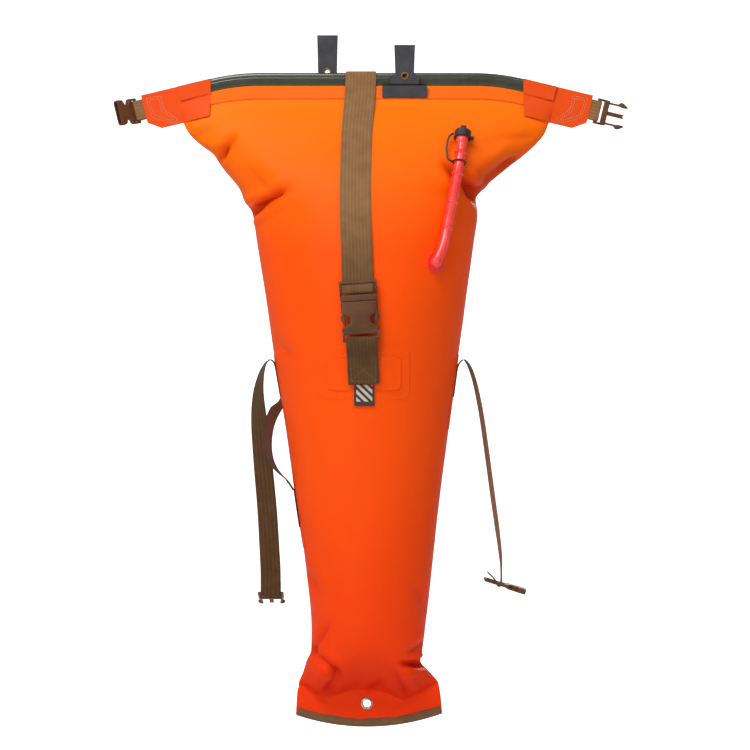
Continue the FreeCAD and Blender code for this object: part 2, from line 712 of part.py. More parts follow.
def anchor(name, side, top, end):
    """Webbing sewn flat along a side seam."""
    wire = Part.Wire([Part.LineSegment(V(side * seam(end), 0, -end),
                                       V(side * seam(top), 0, -top)).toShape()])
    return keep(feature(name, ribbon(wire, size("side_web"), webGauge, V(0, 1, 0))), name)


hingeDrop, anchorEnd = size("hinge_drop"), size("anchor_end")
foldRise, foldOut = size("fold_rise"), size("fold_out")


def foldedAnchor(name, side):
    """A side strap's sewn end: up the seam, then over to the fold where the strap swings."""
    top = seam(hingeDrop)
    points = [(seam(anchorEnd), 0, -anchorEnd), (top, 0, -hingeDrop),
              (top + 1.8, 0, -hingeDrop + foldRise - 2),
              (top + foldOut - webGauge / 2 - 0.4, 0, -hingeDrop + foldRise - 0.3)]
    points = [(side * x, y, z) for x, y, z in points]
    wire = route(points, [8, 2.6])
    return keep(feature(name, ribbon(wire, size("side_web"), webGauge, V(0, 1, 0))), name)


foldedAnchor("left_strap_anchor", -1)
foldedAnchor("right_strap_anchor", 1)


def twisted(stations, width, gauge):
    """Webbing through stations of a point and the angle its width has turned from Y."""
    points = [V(*p[:3]) for p in stations]
    wires = []
    for i, (x, y, z, angle) in enumerate(stations):
        along = (points[min(i + 1, len(points) - 1)] - points[max(i - 1, 0)]).normalize()
        turned = math.radians(angle)
        across = V(-math.sin(turned), math.cos(turned), 0)
        across = (across - along * across.dot(along)).normalize()
        up = along.cross(across)
        corners = [points[i] + across * (width / 2 * a) + up * (gauge / 2 * b)
                   for a, b in ((-1, -1), (1, -1), (1, 1), (-1, 1))]
        wires.append(Part.makePolygon(corners + corners[:1]))
    return Part.makeLoft(wires, True, True)


def hingeRoll(point, width, gauge):
    """The round end of a strap where it folds at its stitching."""
    return Part.makeCylinder(gauge / 2, width, point - V(0, width / 2, 0), V(0, 1, 0))


leftHinge = V(-seam(hingeDrop) - foldOut, 0, foldRise - hingeDrop)
leftBarDrop = size("left_bar_drop")
leftRoute = [(leftHinge.x, 0, leftHinge.z, 0), (-124.4, 0, -360.4, 0),
             (-128, 0.8, -365.4, 6), (-132.3, 3, -377, 17), (-135.8, 7, -396, 30),
             (-136.4, 12, -420, 46), (-134.6, 15, -446, 60), (-129.8, 16, -498, 72),
             (-125, 16, -550, 78), (-122.2, 16, -602, 84), (-121, 16, 30 - leftBarDrop, 90),
             (-121, 16, 20 - leftBarDrop, 90)]
leftX, leftY = leftRoute[-1][0], leftRoute[-1][1]
hung = [(0, leftY, 20 - leftBarDrop), (0, leftY, -leftBarDrop - loopRadius),
        (0, leftY + 2 * loopRadius, -leftBarDrop - loopRadius),
        (0, leftY + 2 * loopRadius, 15 - leftBarDrop)]
hungWeb = ribbon(route(hung, [loopRadius * 0.999] * 2), size("side_web"), webGauge, V(1, 0, 0))
hungWeb.translate(V(leftX, 0, 0))
leftStrap = twisted(leftRoute, size("side_web"), webGauge)
leftStrap = leftStrap.fuse([hungWeb, hingeRoll(leftHinge, size("side_web"), webGauge)])
keep(feature("left_strap", leftStrap), "left_strap")
pitch = math.radians(size("left_pitch"))
leftMale = pose((leftX, leftY + loopRadius, -leftBarDrop),
                (0, math.cos(pitch), -math.sin(pitch)), (1, 0, 0))
maleBuckle("left_buckle_male", "small", True, leftMale)

rightHinge = V(seam(hingeDrop) + foldOut, 0, foldRise - hingeDrop)
rightBarDrop = size("right_bar_drop")
rightX = 167.9
rightRoute = [(rightHinge.x, rightHinge.z), (124.6, -361), (128.2, -367),
              (132, -376.6), (136.8, -394), (143.4, -428), (149.8, -474), (156.4, -524),
              (163.2, -572), (167.4, -606), (rightX, -624), (rightX, -rightBarDrop - loopRadius),
              (rightX - 2 * loopRadius, -rightBarDrop - loopRadius),
              (rightX - 2 * loopRadius, -rightBarDrop + 4), (rightX - 17, -rightBarDrop + 14)]
rightPoints = [V(x, 0, z) for x, z in rightRoute]
rightRadii = []
for i in range(1, len(rightPoints) - 1):
    before, corner, after = rightPoints[i - 1 : i + 2]
    angle = (corner - before).getAngle(after - corner)
    shorter = min((corner - before).Length, (after - corner).Length)
    rightRadii.append(min(0.45 * shorter / math.tan(angle / 2), 900))
rightRadii[-3] = rightRadii[-2] = loopRadius * 0.999
rightRadii[-1] = 2.5
print("right strap radii", [round(r, 1) for r in rightRadii])
rightStrap = ribbon(route(rightPoints, rightRadii), size("side_web"), webGauge, V(0, 1, 0))
rightStrap = rightStrap.fuse(hingeRoll(rightHinge, size("side_web"), webGauge))
keep(feature("right_strap", rightStrap), "right_strap")
pitch = math.radians(size("right_pitch"))
rightFemale = pose((rightX - loopRadius, 0, -rightBarDrop),
                   (math.cos(pitch), 0, -math.sin(pitch)), (0, 1, 0))
femaleBuckle("right_buckle_female", "small", 2, rightFemale)

handleTop, handleFoot, handleEnd = size("handle_top"), size("handle_foot"), size("handle_end")
handleRoute = [(-seam(handleTop), 0, -handleTop, 0), (-110.8, 0, -417, 3),
               (-117.2, -6, -430, 20), (-122.6, -10.5, -446, 32), (-124.2, -11.4, -462, 30),
               (-122.4, -10, -478, 20), (-116.6, -6, -492, 10), (-107.8, -2, -502, 4),
               (-99.6, 0, -509.5, 0), (-seam(handleFoot), 0, -handleFoot, 0)]
handle = twisted(handleRoute, size("side_web"), webGauge)
keep(feature("handle", handle), "handle")
anchor("handle_anchor", -1, handleFoot + 0.8, handleEnd)

# ---- hem tape and grommet

tapeBand = hemFace(size("tape_height")).cut(hemFace(-size("tape_gauge")))
tapeBand.translate(V(0, -30, 0))
band = feature("hem_band", tapeBand.extrude(V(0, 60, 0)))
inHem = cut("in_hem", grown("0"), belowHem)
keep(cut("hem_tape", common("hem_tape_outer", grown("sizes.tape_gauge"), band), inHem),
     "hem_tape")

flat = "sizes.edge_deep"
bore = rod("eyelet_bore", "sizes.grommet_hole", 60, 0, -30, grommetAt, alongY)
disc = rod("eyelet_disc", "sizes.grommet_flange", "sizes.grommet_gauge", 0,
           "-%s - sizes.grommet_gauge" % flat, grommetAt, alongY)
barrel = rod("eyelet_barrel", "sizes.grommet_barrel", "2 * %s + sizes.washer_gauge" % flat, 0,
             "-" + flat, grommetAt, alongY)
keep(cut("grommet_eyelet", fuse("grommet_eyelet_solid", disc, barrel), bore), "grommet_eyelet")
plate = rod("washer_plate", "sizes.grommet_flange", "sizes.washer_gauge", 0, flat,
            grommetAt, alongY)
keep(cut("grommet_washer", plate, grommetBore), "grommet_washer")

# ---- oral inflation tube: elbow flange on the bag, tube, valve, cap, ring and tether

tubeX, tubeDrop, tubeR = size("tube_x"), size("tube_drop"), size("tube_outer")
tubeBore, mouthR = size("tube_bore"), size("tube_mouth")
elbow = V(tubeX, -front(tubeX, tubeDrop) - 10.5, -tubeDrop)


def lifted(x, drop, rise):
    """A point in front of the pouch, a distance off its face along the face's normal."""
    step = 0.5
    acrossSlope = (front(x + step, drop) - front(x - step, drop)) / (2 * step)
    downSlope = (front(x, drop + step) - front(x, drop - step)) / (2 * step)
    stretch = math.sqrt(1 + acrossSlope ** 2 + downSlope ** 2)
    return V(x, -front(x, drop) - rise * stretch, -drop)


# across, down, and how much more than its radius the tube's middle stands off the face
tubeCourse = [(92, 226, 4.4), (98, 198, 1.2), (104.5, 166, 1.2), (110.5, 134, 3.4),
              (115.5, 105, 4.4), (118.5, 78, 5.0)]
tubePoints = [elbow] + [lifted(x, drop, tubeR + more) for x, drop, more in tubeCourse]
tubeRadii = []
for before, corner, after in zip(tubePoints, tubePoints[1:], tubePoints[2:]):
    angle = (corner - before).getAngle(after - corner)
    shorter = min((corner - before).Length, (after - corner).Length)
    tubeRadii.append(min(0.45 * shorter / math.tan(angle / 2), 400))
tubeLine = route(tubePoints, tubeRadii)
mouth = tubePoints[-1]
alongTube = (tubePoints[-1] - tubePoints[-2]).normalize()


def pipe(wire, radius):
    edge = wire.Edges[0]
    at = edge.Vertexes[0].Point
    profile = Part.Wire([Part.makeCircle(radius, at, edge.tangentAt(edge.FirstParameter))])
    solid = wire.makePipeShell([profile], True, False)
    expected = math.pi * radius ** 2 * wire.Length
    if abs(solid.Volume - expected) > 0.03 * expected:
        raise ValueError("a pipe's volume is %.0f, not %.0f" % (solid.Volume, expected))
    return solid


flare = 14.0
ballR = tubeR + 0.9
tube = pipe(tubeLine, tubeR).fuse(Part.makeSphere(ballR, elbow))
tube = tube.fuse(Part.makeCylinder(mouthR, flare, mouth - alongTube * flare, alongTube))
boreLine = route(tubePoints[1:], tubeRadii[1:])
tube = tube.cut(pipe(boreLine, tubeBore))
keep(feature("inflation_tube", tube), "inflation_tube")
print("pivot inflation_tube", [round(x, 3) for x in elbow])
print("slide cap", [round(x, 4) for x in mouth], [round(x, 5) for x in alongTube])

flangeBase = V(tubeX, -front(tubeX, tubeDrop), -tubeDrop)
tubeWide, tubeDeep = halves(tubeDrop)
outward = V(tubeX / tubeWide ** 2, -front(tubeX, tubeDrop) / tubeDeep ** 2, 0).normalize()
sole = Part.makeCylinder(size("tube_flange"), 4, flangeBase - outward * 2, outward)
neck = Part.makeCone(tubeR + 2.6, tubeR + 1, 6.5, flangeBase - outward, outward)
foot = sole.fuse(neck).cut(grown("0").Shape)
foot = foot.cut(Part.makeSphere(ballR + size("skin_gap"), elbow))
foot = foot.cut(pipe(tubeLine, tubeR + size("skin_gap")))
foot = max(foot.Solids, key=lambda solid: solid.Volume)
keep(feature("tube_foot", foot), "tube_foot")

capR = mouthR + size("cap_gap") + size("cap_wall")
capHeight, capTop = size("cap_height"), 1.6
cap = Part.makeCylinder(capR, capHeight + capTop, mouth - alongTube * capHeight, alongTube)
cap = cap.cut(Part.makeCylinder(mouthR + size("cap_gap"), capHeight + size("cap_gap"),
                                mouth - alongTube * capHeight, alongTube))
lugSide = alongTube.cross(V(0, 1, 0)).normalize()
lugDeep = alongTube.cross(lugSide)
lug = Part.makeBox(8, 6, 5.5)
lug.translate(V(-4, -3, capTop - 0.5))
lug.Placement = FreeCAD.Placement(mouth, FreeCAD.Rotation(lugSide, lugDeep, alongTube, "XYZ")) \
    .multiply(lug.Placement)
keep(feature("tube_cap", cap.fuse(lug)), "tube_cap")

seatLength, seatBore, stemGap = 9.0, 2.3, 0.3
seatBase = mouth - alongTube * seatLength
seat = Part.makeCylinder(tubeBore, seatLength, seatBase, alongTube)
seat = seat.cut(Part.makeCylinder(seatBore, seatLength, seatBase, alongTube))
keep(feature("valve_seat", seat), "valve_seat")
poppetR = size("poppet_radius")
poppet = Part.makeCylinder(poppetR, seatLength + 1.2, seatBase - alongTube * 1.5, alongTube)
poppet = poppet.fuse(Part.makeCylinder(seatBore + 0.7, 1.2, seatBase - alongTube * 1.7, alongTube))
keep(feature("valve_poppet", poppet), "valve_poppet")

ringDrop = 115.0
ringAt = min((V(tubePoints[i]) + (tubePoints[i + 1] - tubePoints[i]) * t
              for i in range(len(tubePoints) - 1) for t in (0.2, 0.4, 0.6, 0.8)),
             key=lambda p: abs(p.z + ringDrop))
ringR = tubeR + size("ring_gauge") / 2 + 0.35
ring = Part.makeTorus(ringR, size("ring_gauge") / 2, ringAt, alongTube)
keep(feature("tether_ring", ring), "tether_ring")
toLeft = lugSide if lugSide.x < 0 else -lugSide
capSide = mouth - alongTube * 3 + toLeft * (capR + 1.7)
ringSide = ringAt + toLeft * (ringR + size("ring_gauge") / 2 + 0.2)
tetherPoints = [ringSide, ringSide + toLeft * 6 + alongTube * 3,
                (ringSide + capSide) / 2 + toLeft * 8, capSide + toLeft * 5 - alongTube * 5,
                capSide]
tetherRadii = []
for before, corner, after in zip(tetherPoints, tetherPoints[1:], tetherPoints[2:]):
    angle = (corner - before).getAngle(after - corner)
    shorter = min((corner - before).Length, (after - corner).Length)
    tetherRadii.append(0.45 * shorter / math.tan(angle / 2))
tether = pipe(route(tetherPoints, tetherRadii), 1.2)
keep(feature("cap_tether", tether), "cap_tether")

# ---- pull tabs: a welded T base, and a folded loop with an eyelet that hinges on it


def pullTab(name, side, centre, rise, eyeletDrop):
    """A tab outside one rail; side is -1 for the front and 1 for the back."""
    sign = "-" if side < 0 else ""
    gauge, gap = "sizes.tab_gauge", "sizes.tab_gap"
    thick = "(2 * %s + %s)" % (gauge, gap)
    hinge = "sizes.tab_hinge_drop"
    offset = "(sizes.rail_gauge + sizes.tab_clear + %s / 2)" % thick
    middle = "(%s%s)" % (sign, offset)
    foot, waist, head = "sizes.tab_foot / 2", "sizes.tab_neck / 2", "sizes.tab_width / 2"
    outline = [("%s - %s" % (centre, foot), "-" + hinge),
               ("%s + %s" % (centre, foot), "-" + hinge),
               ("%s + %s" % (centre, foot), "-%s + 6" % hinge),
               ("%s + %s" % (centre, waist), "-%s + 12" % hinge),
               ("%s + %s" % (centre, head), rise),
               ("%s - %s" % (centre, head), rise),
               ("%s - %s" % (centre, waist), "-%s + 12" % hinge),
               ("%s - %s" % (centre, foot), "-%s + 6" % hinge)]
    blank = padded(name + "_blank", outline, thick)
    blank.setExpression("Placement.Base.y", middle)
    slot = box(name + "_slot", "%s - 30" % centre, "%s - %s / 2" % (middle, gap),
               "-%s + 5" % hinge, 60, gap, "%s + %s - 5 - %s" % (rise, hinge, gauge))
    hole = rod(name + "_hole", "sizes.eyelet_hole + 0.5", 40, centre, "%s - 20" % middle,
               "-(%s)" % eyeletDrop, alongY)
    roll = rod(name + "_roll", thick + " / 2", "sizes.tab_foot", "%s - %s" % (centre, foot),
               middle, "-" + hinge, alongX)
    tab = keep(cut(name, fuse(name + "_solid", blank, roll), slot, hole), name)
    tube = rod(name + "_eyelet_tube", "sizes.eyelet_hole + 0.5", thick, centre,
               "%s - %s / 2" % (middle, thick), "-(%s)" % eyeletDrop, alongY)
    rims = [rod("%s_eyelet_rim%d" % (name, i), "sizes.eyelet_flange", "sizes.eyelet_gauge",
                centre, "%s %s" % (middle, at), "-(%s)" % eyeletDrop, alongY)
            for i, at in enumerate(("- %s / 2 - sizes.eyelet_gauge" % thick, "+ %s / 2" % thick))]
    through = rod(name + "_eyelet_bore", "sizes.eyelet_hole", 40, centre,
                  "%s - 20" % middle, "-(%s)" % eyeletDrop, alongY)
    eyelet = name + "_eyelet"
    keep(cut(eyelet, fuse(eyelet + "_solid", tube, *rims), through), eyelet)
    width = "sizes.tab_base" if side < 0 else "sizes.tab_back_base"
    baseTop, baseLow = "(%s + %s / 2 + 0.6)" % (hinge, thick), "(sizes.rail_height + 15)"
    near = front(0, railHeight + 15) + size("sheet_gauge") + 0.3
    low = "-%g - %s" % (near, gauge) if side < 0 else "%g" % near
    base = box(name + "_base", "%s - %s / 2" % (centre, width), low, "-" + baseLow,
               width, gauge, "%s - %s" % (baseLow, baseTop))
    keep(base, name + "_base")
    doc.recompute()
    print("pivot", name, [round(x, 3) for x in (
        size("tab_front_x" if side < 0 else "tab_back_x"),
        side * (railGauge + size("tab_clear") + size("tab_gauge") + size("tab_gap") / 2),
        -size("tab_hinge_drop"))])


pullTab("front_tab", -1, "sizes.tab_front_x", "sizes.tab_rise", "sizes.eyelet_front_drop")
pullTab("back_tab", 1, "sizes.tab_back_x", "sizes.tab_back_rise", "sizes.eyelet_back_drop")

# ---- hinge lines, for whoever sets up the joints

for name, kind, ladder, placement in (("wing_buckle_male", "small", False, wingMale),
                                      ("center_buckle_male", "large", True, centerMale),
                                      ("left_buckle_male", "small", True, leftMale)):
    prongPivots(name, kind, ladder, placement)
for name, placement in (("wing_buckle_male", wingMale), ("wing_buckle_female", wingFemale),
                        ("left_buckle_male", leftMale), ("right_buckle_female", rightFemale)):
    pivotLine(name, placement, (0, 0, 0))
for name, point in (("left_strap", leftHinge), ("right_strap", rightHinge)):
    print("pivot", name, [round(x, 3) for x in point], [0, 1, 0])

doc.recompute()
bad = [o.Name for o in doc.Objects if any(s in ("Invalid", "Error") for s in o.State)]
if bad:
    raise RuntimeError("objects that failed: " + ", ".join(bad))
os.makedirs("parts", exist_ok=True)
for name, obj in pieces.items():
    shape = obj.Shape
    if shape.isNull() or not shape.isValid() or shape.Volume < 0.1:
        raise RuntimeError(name + " has no valid solid")
for name, obj in pieces.items():
    obj.Shape.exportStep("parts/%s.step" % name)
print("wrote", len(pieces), "sub-parts")
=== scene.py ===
import math
import bmesh
import bpy
import numpy as np
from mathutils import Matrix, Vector


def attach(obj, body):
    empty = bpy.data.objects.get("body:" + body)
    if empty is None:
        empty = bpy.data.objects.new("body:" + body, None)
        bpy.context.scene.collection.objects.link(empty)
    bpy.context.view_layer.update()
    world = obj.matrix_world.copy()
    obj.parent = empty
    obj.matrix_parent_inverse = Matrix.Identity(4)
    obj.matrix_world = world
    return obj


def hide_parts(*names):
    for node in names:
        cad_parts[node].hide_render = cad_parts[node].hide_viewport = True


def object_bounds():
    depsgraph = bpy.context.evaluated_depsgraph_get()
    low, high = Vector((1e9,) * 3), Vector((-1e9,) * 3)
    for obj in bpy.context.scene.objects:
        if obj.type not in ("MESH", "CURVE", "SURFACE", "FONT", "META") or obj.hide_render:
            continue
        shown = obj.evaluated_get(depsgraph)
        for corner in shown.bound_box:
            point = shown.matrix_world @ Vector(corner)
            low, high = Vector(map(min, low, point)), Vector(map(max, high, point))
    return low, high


# Tapered inflatable stow float for a kayak: it hangs from its closure, front towards -Y.
# Sizes below are millimetres unless a note says otherwise; meshes are scaled to metres.

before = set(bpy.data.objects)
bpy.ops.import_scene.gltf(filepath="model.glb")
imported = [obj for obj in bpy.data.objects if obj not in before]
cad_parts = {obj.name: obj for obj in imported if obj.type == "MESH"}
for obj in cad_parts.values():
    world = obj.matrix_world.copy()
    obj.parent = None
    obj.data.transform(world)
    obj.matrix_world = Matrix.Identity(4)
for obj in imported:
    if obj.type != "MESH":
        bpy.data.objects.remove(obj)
cadLow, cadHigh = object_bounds()
mm = 0.001


def smoothThrough(knots, values, at):
    # Cubic between knots; a knot's slope is the harmonic mean of the two beside it, 0 at a turn.
    knots, values = np.asarray(knots, float), np.asarray(values, float)
    at = np.clip(at, knots[0], knots[-1])
    gap = np.diff(knots)
    rise = np.diff(values) / gap
    both = rise[:-1] * rise[1:]
    mean = 2 * both / np.where(rise[:-1] + rise[1:] == 0, 1, rise[:-1] + rise[1:])
    slope = np.concatenate([[rise[0]], np.where(both > 0, mean, 0), [rise[-1]]])
    i = np.clip(np.searchsorted(knots, at, side="right") - 1, 0, len(gap) - 1)
    t = (at - knots[i]) / gap[i]
    return (values[i] * (1 + 2 * t) * (1 - t) ** 2 + slope[i] * gap[i] * t * (1 - t) ** 2
            + values[i + 1] * t * t * (3 - 2 * t) + slope[i + 1] * gap[i] * t * t * (t - 1))


def smoothStep(low, high, at):
    # 0 below low and 1 above high; between them t squared times (3 - 2 t), t being the share.
    t = np.clip((np.asarray(at, float) - low) / (high - low), 0, 1)
    return t * t * (3 - 2 * t)


def unit(v):
    return v / np.maximum(np.linalg.norm(v, axis=-1, keepdims=True), 1e-12)


def placed(name, data):
    # An object for a mesh, lamp, camera or curve, linked to the scene.
    obj = bpy.data.objects.new(name, data)
    bpy.context.scene.collection.objects.link(obj)
    return obj


def makePiece(name, points, faces, body, material, uv=None):
    # Points are in millimetres, faces list point numbers, uv is one pair for each face corner.
    mesh = bpy.data.meshes.new(name)
    mesh.from_pydata((np.asarray(points, float) * mm).reshape(-1, 3), [], faces)
    if uv is not None:
        layer = mesh.uv_layers.new(name="flat")
        layer.uv.foreach_set("vector", np.asarray(uv, np.float32).ravel())
    mesh.materials.append(material)
    mesh.polygons.foreach_set("use_smooth", np.ones(len(mesh.polygons), bool))
    mesh.update()
    obj = placed(name, mesh)
    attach(obj, body)
    return obj


def faceOut(piece):
    # Turns the faces of closed surfaces outwards.
    work = bmesh.new()
    work.from_mesh(piece.data)
    bmesh.ops.recalc_face_normals(work, faces=work.faces)
    work.to_mesh(piece.data)
    work.free()


def gridFaces(rows, columns, wrap=False, flip=False):
    # Four-sided faces of a grid of points; wrap joins the last column to the first.
    index = np.arange(rows * columns).reshape(rows, columns)
    if wrap:
        index = np.concatenate([index, index[:, :1]], 1)
    quads = np.stack([index[:-1, :-1], index[:-1, 1:], index[1:, 1:], index[1:, :-1]], -1)
    quads = quads.reshape(-1, 4)
    return quads[:, ::-1] if flip else quads


def endFaces(rows, columns):
    # The first and last rows of a wrapped grid, each as one flat face.
    last = (rows - 1) * columns
    return [list(range(columns))[::-1], list(range(last, last + columns))]


def gridUv(u, v):
    # Face-corner pairs for a grid; u and v have one more column than a wrapped grid has.
    pair = np.stack([u, v], -1)
    corners = np.stack([pair[:-1, :-1], pair[:-1, 1:], pair[1:, 1:], pair[1:, :-1]], 2)
    return corners.reshape(-1, 2)


def setShade(piece, values):
    # How much painted shade each vertex takes, from 0 to 1, for the materials that read it.
    shade = piece.data.attributes.new("shade", "FLOAT", "POINT")
    shade.data.foreach_set("value", values.astype(np.float32).ravel())


def superEllipse(turn, power):
    # A circle's cosine and sine squared off: each keeps its sign and takes the power 2 / power.
    c, s = np.cos(turn), np.sin(turn)
    return np.sign(c) * np.abs(c) ** (2 / power), np.sign(s) * np.abs(s) ** (2 / power)


def carried(line, across, profile):
    # A closed profile carried along a line: first number across, second along line x across.
    line, across = np.asarray(line, float), np.asarray(across, float)
    along = unit(np.gradient(line, axis=0))
    across = unit(across - along * np.sum(across * along, -1, keepdims=True))
    up = np.cross(along, across)
    profile = np.broadcast_to(profile, (len(line),) + np.shape(profile)[-2:])
    points = (line[:, None] + across[:, None] * profile[..., :1] + up[:, None] * profile[..., 1:])
    return points, profile


def carriedPiece(name, line, across, profile, body, material):
    # The carried surface with flat ends; u runs round the profile and v along the line, in metres.
    points, profile = carried(line, across, profile)
    rows, columns = points.shape[:2]
    around = np.zeros((rows, columns + 1))
    closed = np.concatenate([profile, profile[:, :1]], 1)
    around[:, 1:] = np.cumsum(np.linalg.norm(np.diff(closed, axis=1), axis=-1), 1)
    around -= around[:, columns // 4: columns // 4 + 1]
    steps = np.linalg.norm(np.diff(np.asarray(line, float), axis=0), axis=-1)
    along = np.concatenate([[0], np.cumsum(steps)])[:, None] + around * 0
    faces = gridFaces(rows, columns, wrap=True).tolist()
    endUv = np.concatenate([closed[0, :-1][::-1], closed[-1, :-1]]) * mm
    uv = np.concatenate([gridUv(around * mm, along * mm), endUv])
    return makePiece(name, points, faces + endFaces(rows, columns), body, material, uv)


def spline(points, detail=10):
    # The smooth line that a NURBS spline of order 3 makes of its control points, in millimetres.
    curve = bpy.data.curves.new("route", "CURVE")
    curve.dimensions = "3D"
    curve.resolution_u = detail
    track = curve.splines.new("NURBS")
    track.points.add(len(points) - 1)
    homogeneous = np.column_stack([np.asarray(points, float) * mm, np.ones(len(points))])
    track.points.foreach_set("co", homogeneous.ravel())
    track.order_u = 3
    track.use_endpoint_u = True
    holder = placed("route", curve)
    bpy.context.view_layer.update()
    mesh = bpy.data.meshes.new_from_object(holder)
    line = np.zeros(len(mesh.vertices) * 3)
    mesh.vertices.foreach_get("co", line)
    bpy.data.objects.remove(holder)
    bpy.data.meshes.remove(mesh)
    bpy.data.curves.remove(curve)
    line = line.reshape(-1, 3) / mm
    keepPoint = np.concatenate([[True], np.linalg.norm(np.diff(line, axis=0), axis=-1) > 0.02])
    return line[keepPoint]


def shares(line):
    # How far along its line each point is, from 0 to 1.
    steps = np.linalg.norm(np.diff(np.asarray(line, float), axis=0), axis=-1)
    travelled = np.concatenate([[0], np.cumsum(steps)])
    return travelled / travelled[-1]


def lineLength(line):
    return float(np.linalg.norm(np.diff(line, axis=0), axis=-1).sum())


def even(line, pitch):
    # The same line with points a pitch apart.
    count = max(int(round(lineLength(line) / pitch)), 2)
    at = np.linspace(0, 1, count + 1)
    return np.stack([np.interp(at, shares(line), line[:, k]) for k in range(3)], -1)


def paint(red, green, blue):
    # A screen colour from 0 to 255 as the linear numbers that shaders take.
    c = np.array([red, green, blue]) / 255
    c = np.where(c <= 0.04045, c / 12.92, ((c + 0.055) / 1.055) ** 2.4)
    return (*map(float, c), 1.0)


class Finish:
    # A Principled material that is built up node by node; sockets are its plain settings.
    def __init__(self, name, **sockets):
        self.material = bpy.data.materials.new(name)
        self.material.use_nodes = True
        self.tree = self.material.node_tree
        self.shader = self.tree.nodes["Principled BSDF"]
        for socket, value in sockets.items():
            self.shader.inputs[socket.replace("_", " ")].default_value = value

    def node(self, kind, settings=None, **links):
        # Settings are properties or sockets, by name or number; links say what feeds a socket.
        made = self.tree.nodes.new("ShaderNode" + kind)
        for key, value in (settings or {}).items():
            if isinstance(key, int):
                made.inputs[key].default_value = value
            elif hasattr(made, key):
                setattr(made, key, value)
            else:
                made.inputs[key].default_value = value
        for socket, source in links.items():
            target = int(socket[1:]) if socket[1:].isdigit() else socket.replace("_", " ")
            self.tree.links.new(source, made.inputs[target])
        return made

    def place(self, useUv=False):
        return self.node("TexCoord").outputs["UV" if useUv else "Object"]

    def noise(self, place, scale, detail):
        settings = {"Scale": scale, "Detail": detail, "Roughness": 0.55}
        return self.node("TexNoise", settings, Vector=place).outputs["Fac"]

    def waves(self, place, pitch, direction="X", distortion=0.0):
        # Bands a pitch apart, in metres.
        settings = {"wave_type": "BANDS", "bands_direction": direction,
                    "Scale": math.pi / 10 / pitch, "Distortion": distortion, "Detail": 0}
        return self.node("TexWave", settings, Vector=place).outputs["Fac"]

    def math(self, operation, a, b):
        made = self.node("Math", {"operation": operation})
        for socket, value in ((0, a), (1, b)):
            if isinstance(value, (int, float)):
                made.inputs[socket].default_value = value
            else:
                self.tree.links.new(value, made.inputs[socket])
        return made.outputs[0]

    def ramp(self, factor, stops):
        made = self.node("ValToRGB", Fac=factor)
        elements = made.color_ramp.elements
        while len(elements) < len(stops):
            elements.new(0.5)
        for element, (position, colour) in zip(elements, stops):
            element.position, element.color = position, colour
        return made.outputs["Color"]

    def mix(self, factor, first, second, blend="MIX"):
        made = self.node("Mix", {"data_type": "RGBA", "blend_type": blend})
        for socket, value in ((0, factor), (6, first), (7, second)):
            if isinstance(value, (int, float, tuple)):
                made.inputs[socket].default_value = value
            else:
                self.tree.links.new(value, made.inputs[socket])
        return made.outputs[2]

    def bump(self, *layers):
        # A layer is a height, a strength and a depth in metres; later ones lie on earlier ones.
        normal = None
        for height, strength, depth in layers:
            made = self.node("Bump", {"Strength": strength, "Distance": depth}, Height=height)
            if normal is not None:
                self.tree.links.new(normal, made.inputs["Normal"])
            normal = made.outputs[0]
        self.tree.links.new(normal, self.shader.inputs["Normal"])

    def link(self, socket, source):
        self.tree.links.new(source, self.shader.inputs[socket])

    def rough(self, factor, low, high):
        # Roughness between two numbers by a factor from 0 to 1.
        spread = self.node("MapRange", {"To Min": low, "To Max": high}, Value=factor)
        self.link("Roughness", spread.outputs[0])


def coatedCloth(name, top, middle, bottom, roughness=0.5):
    # Coated nylon: a fine plain weave under a satin coat, clouded. Its own orange is painted paler
    # and yellower towards the top as painted light from above, and darker and redder towards its
    # foot as painted shade.
    finish = Finish(name, Specular_IOR_Level=0.09)
    place = finish.place()
    height = finish.node("SeparateXYZ", Vector=place).outputs["Z"]
    share = finish.node("MapRange", {"From Min": -0.82, "From Max": 0}, Value=height)
    # painted light and shade: the top stop is painted lit, the foot stop painted in shade
    stops = [(0.0, bottom), (0.42, middle), (0.72, middle), (0.97, top)]
    colour = finish.ramp(share.outputs[0], stops)
    cloud = finish.noise(place, 9, 3)
    colour = finish.mix(finish.math("MULTIPLY", cloud, 0.16), colour, middle, "MULTIPLY")
    # painted shade: the skin's shade attribute darkens and reddens the folds, the band over the
    # hem's crease and the right shoulder
    pressed = finish.node("Attribute", {"attribute_name": "shade"}).outputs["Fac"]
    finish.link("Base Color", finish.mix(pressed, colour, (0.66, 0.30, 0.25, 1), "MULTIPLY"))
    weaveAcross = finish.waves(place, 0.0011, "X", 0.4)
    weaveDown = finish.waves(place, 0.0011, "Z", 0.4)
    weave = finish.math("MULTIPLY", weaveAcross, weaveDown)
    grain = finish.noise(place, 900, 2)
    soft = finish.noise(place, 26, 3)
    finish.bump((soft, 0.25, 0.0012), (grain, 0.25, 0.00012), (weave, 0.3, 0.00010))
    finish.rough(grain, roughness - 0.05, roughness + 0.08)
    return finish.material


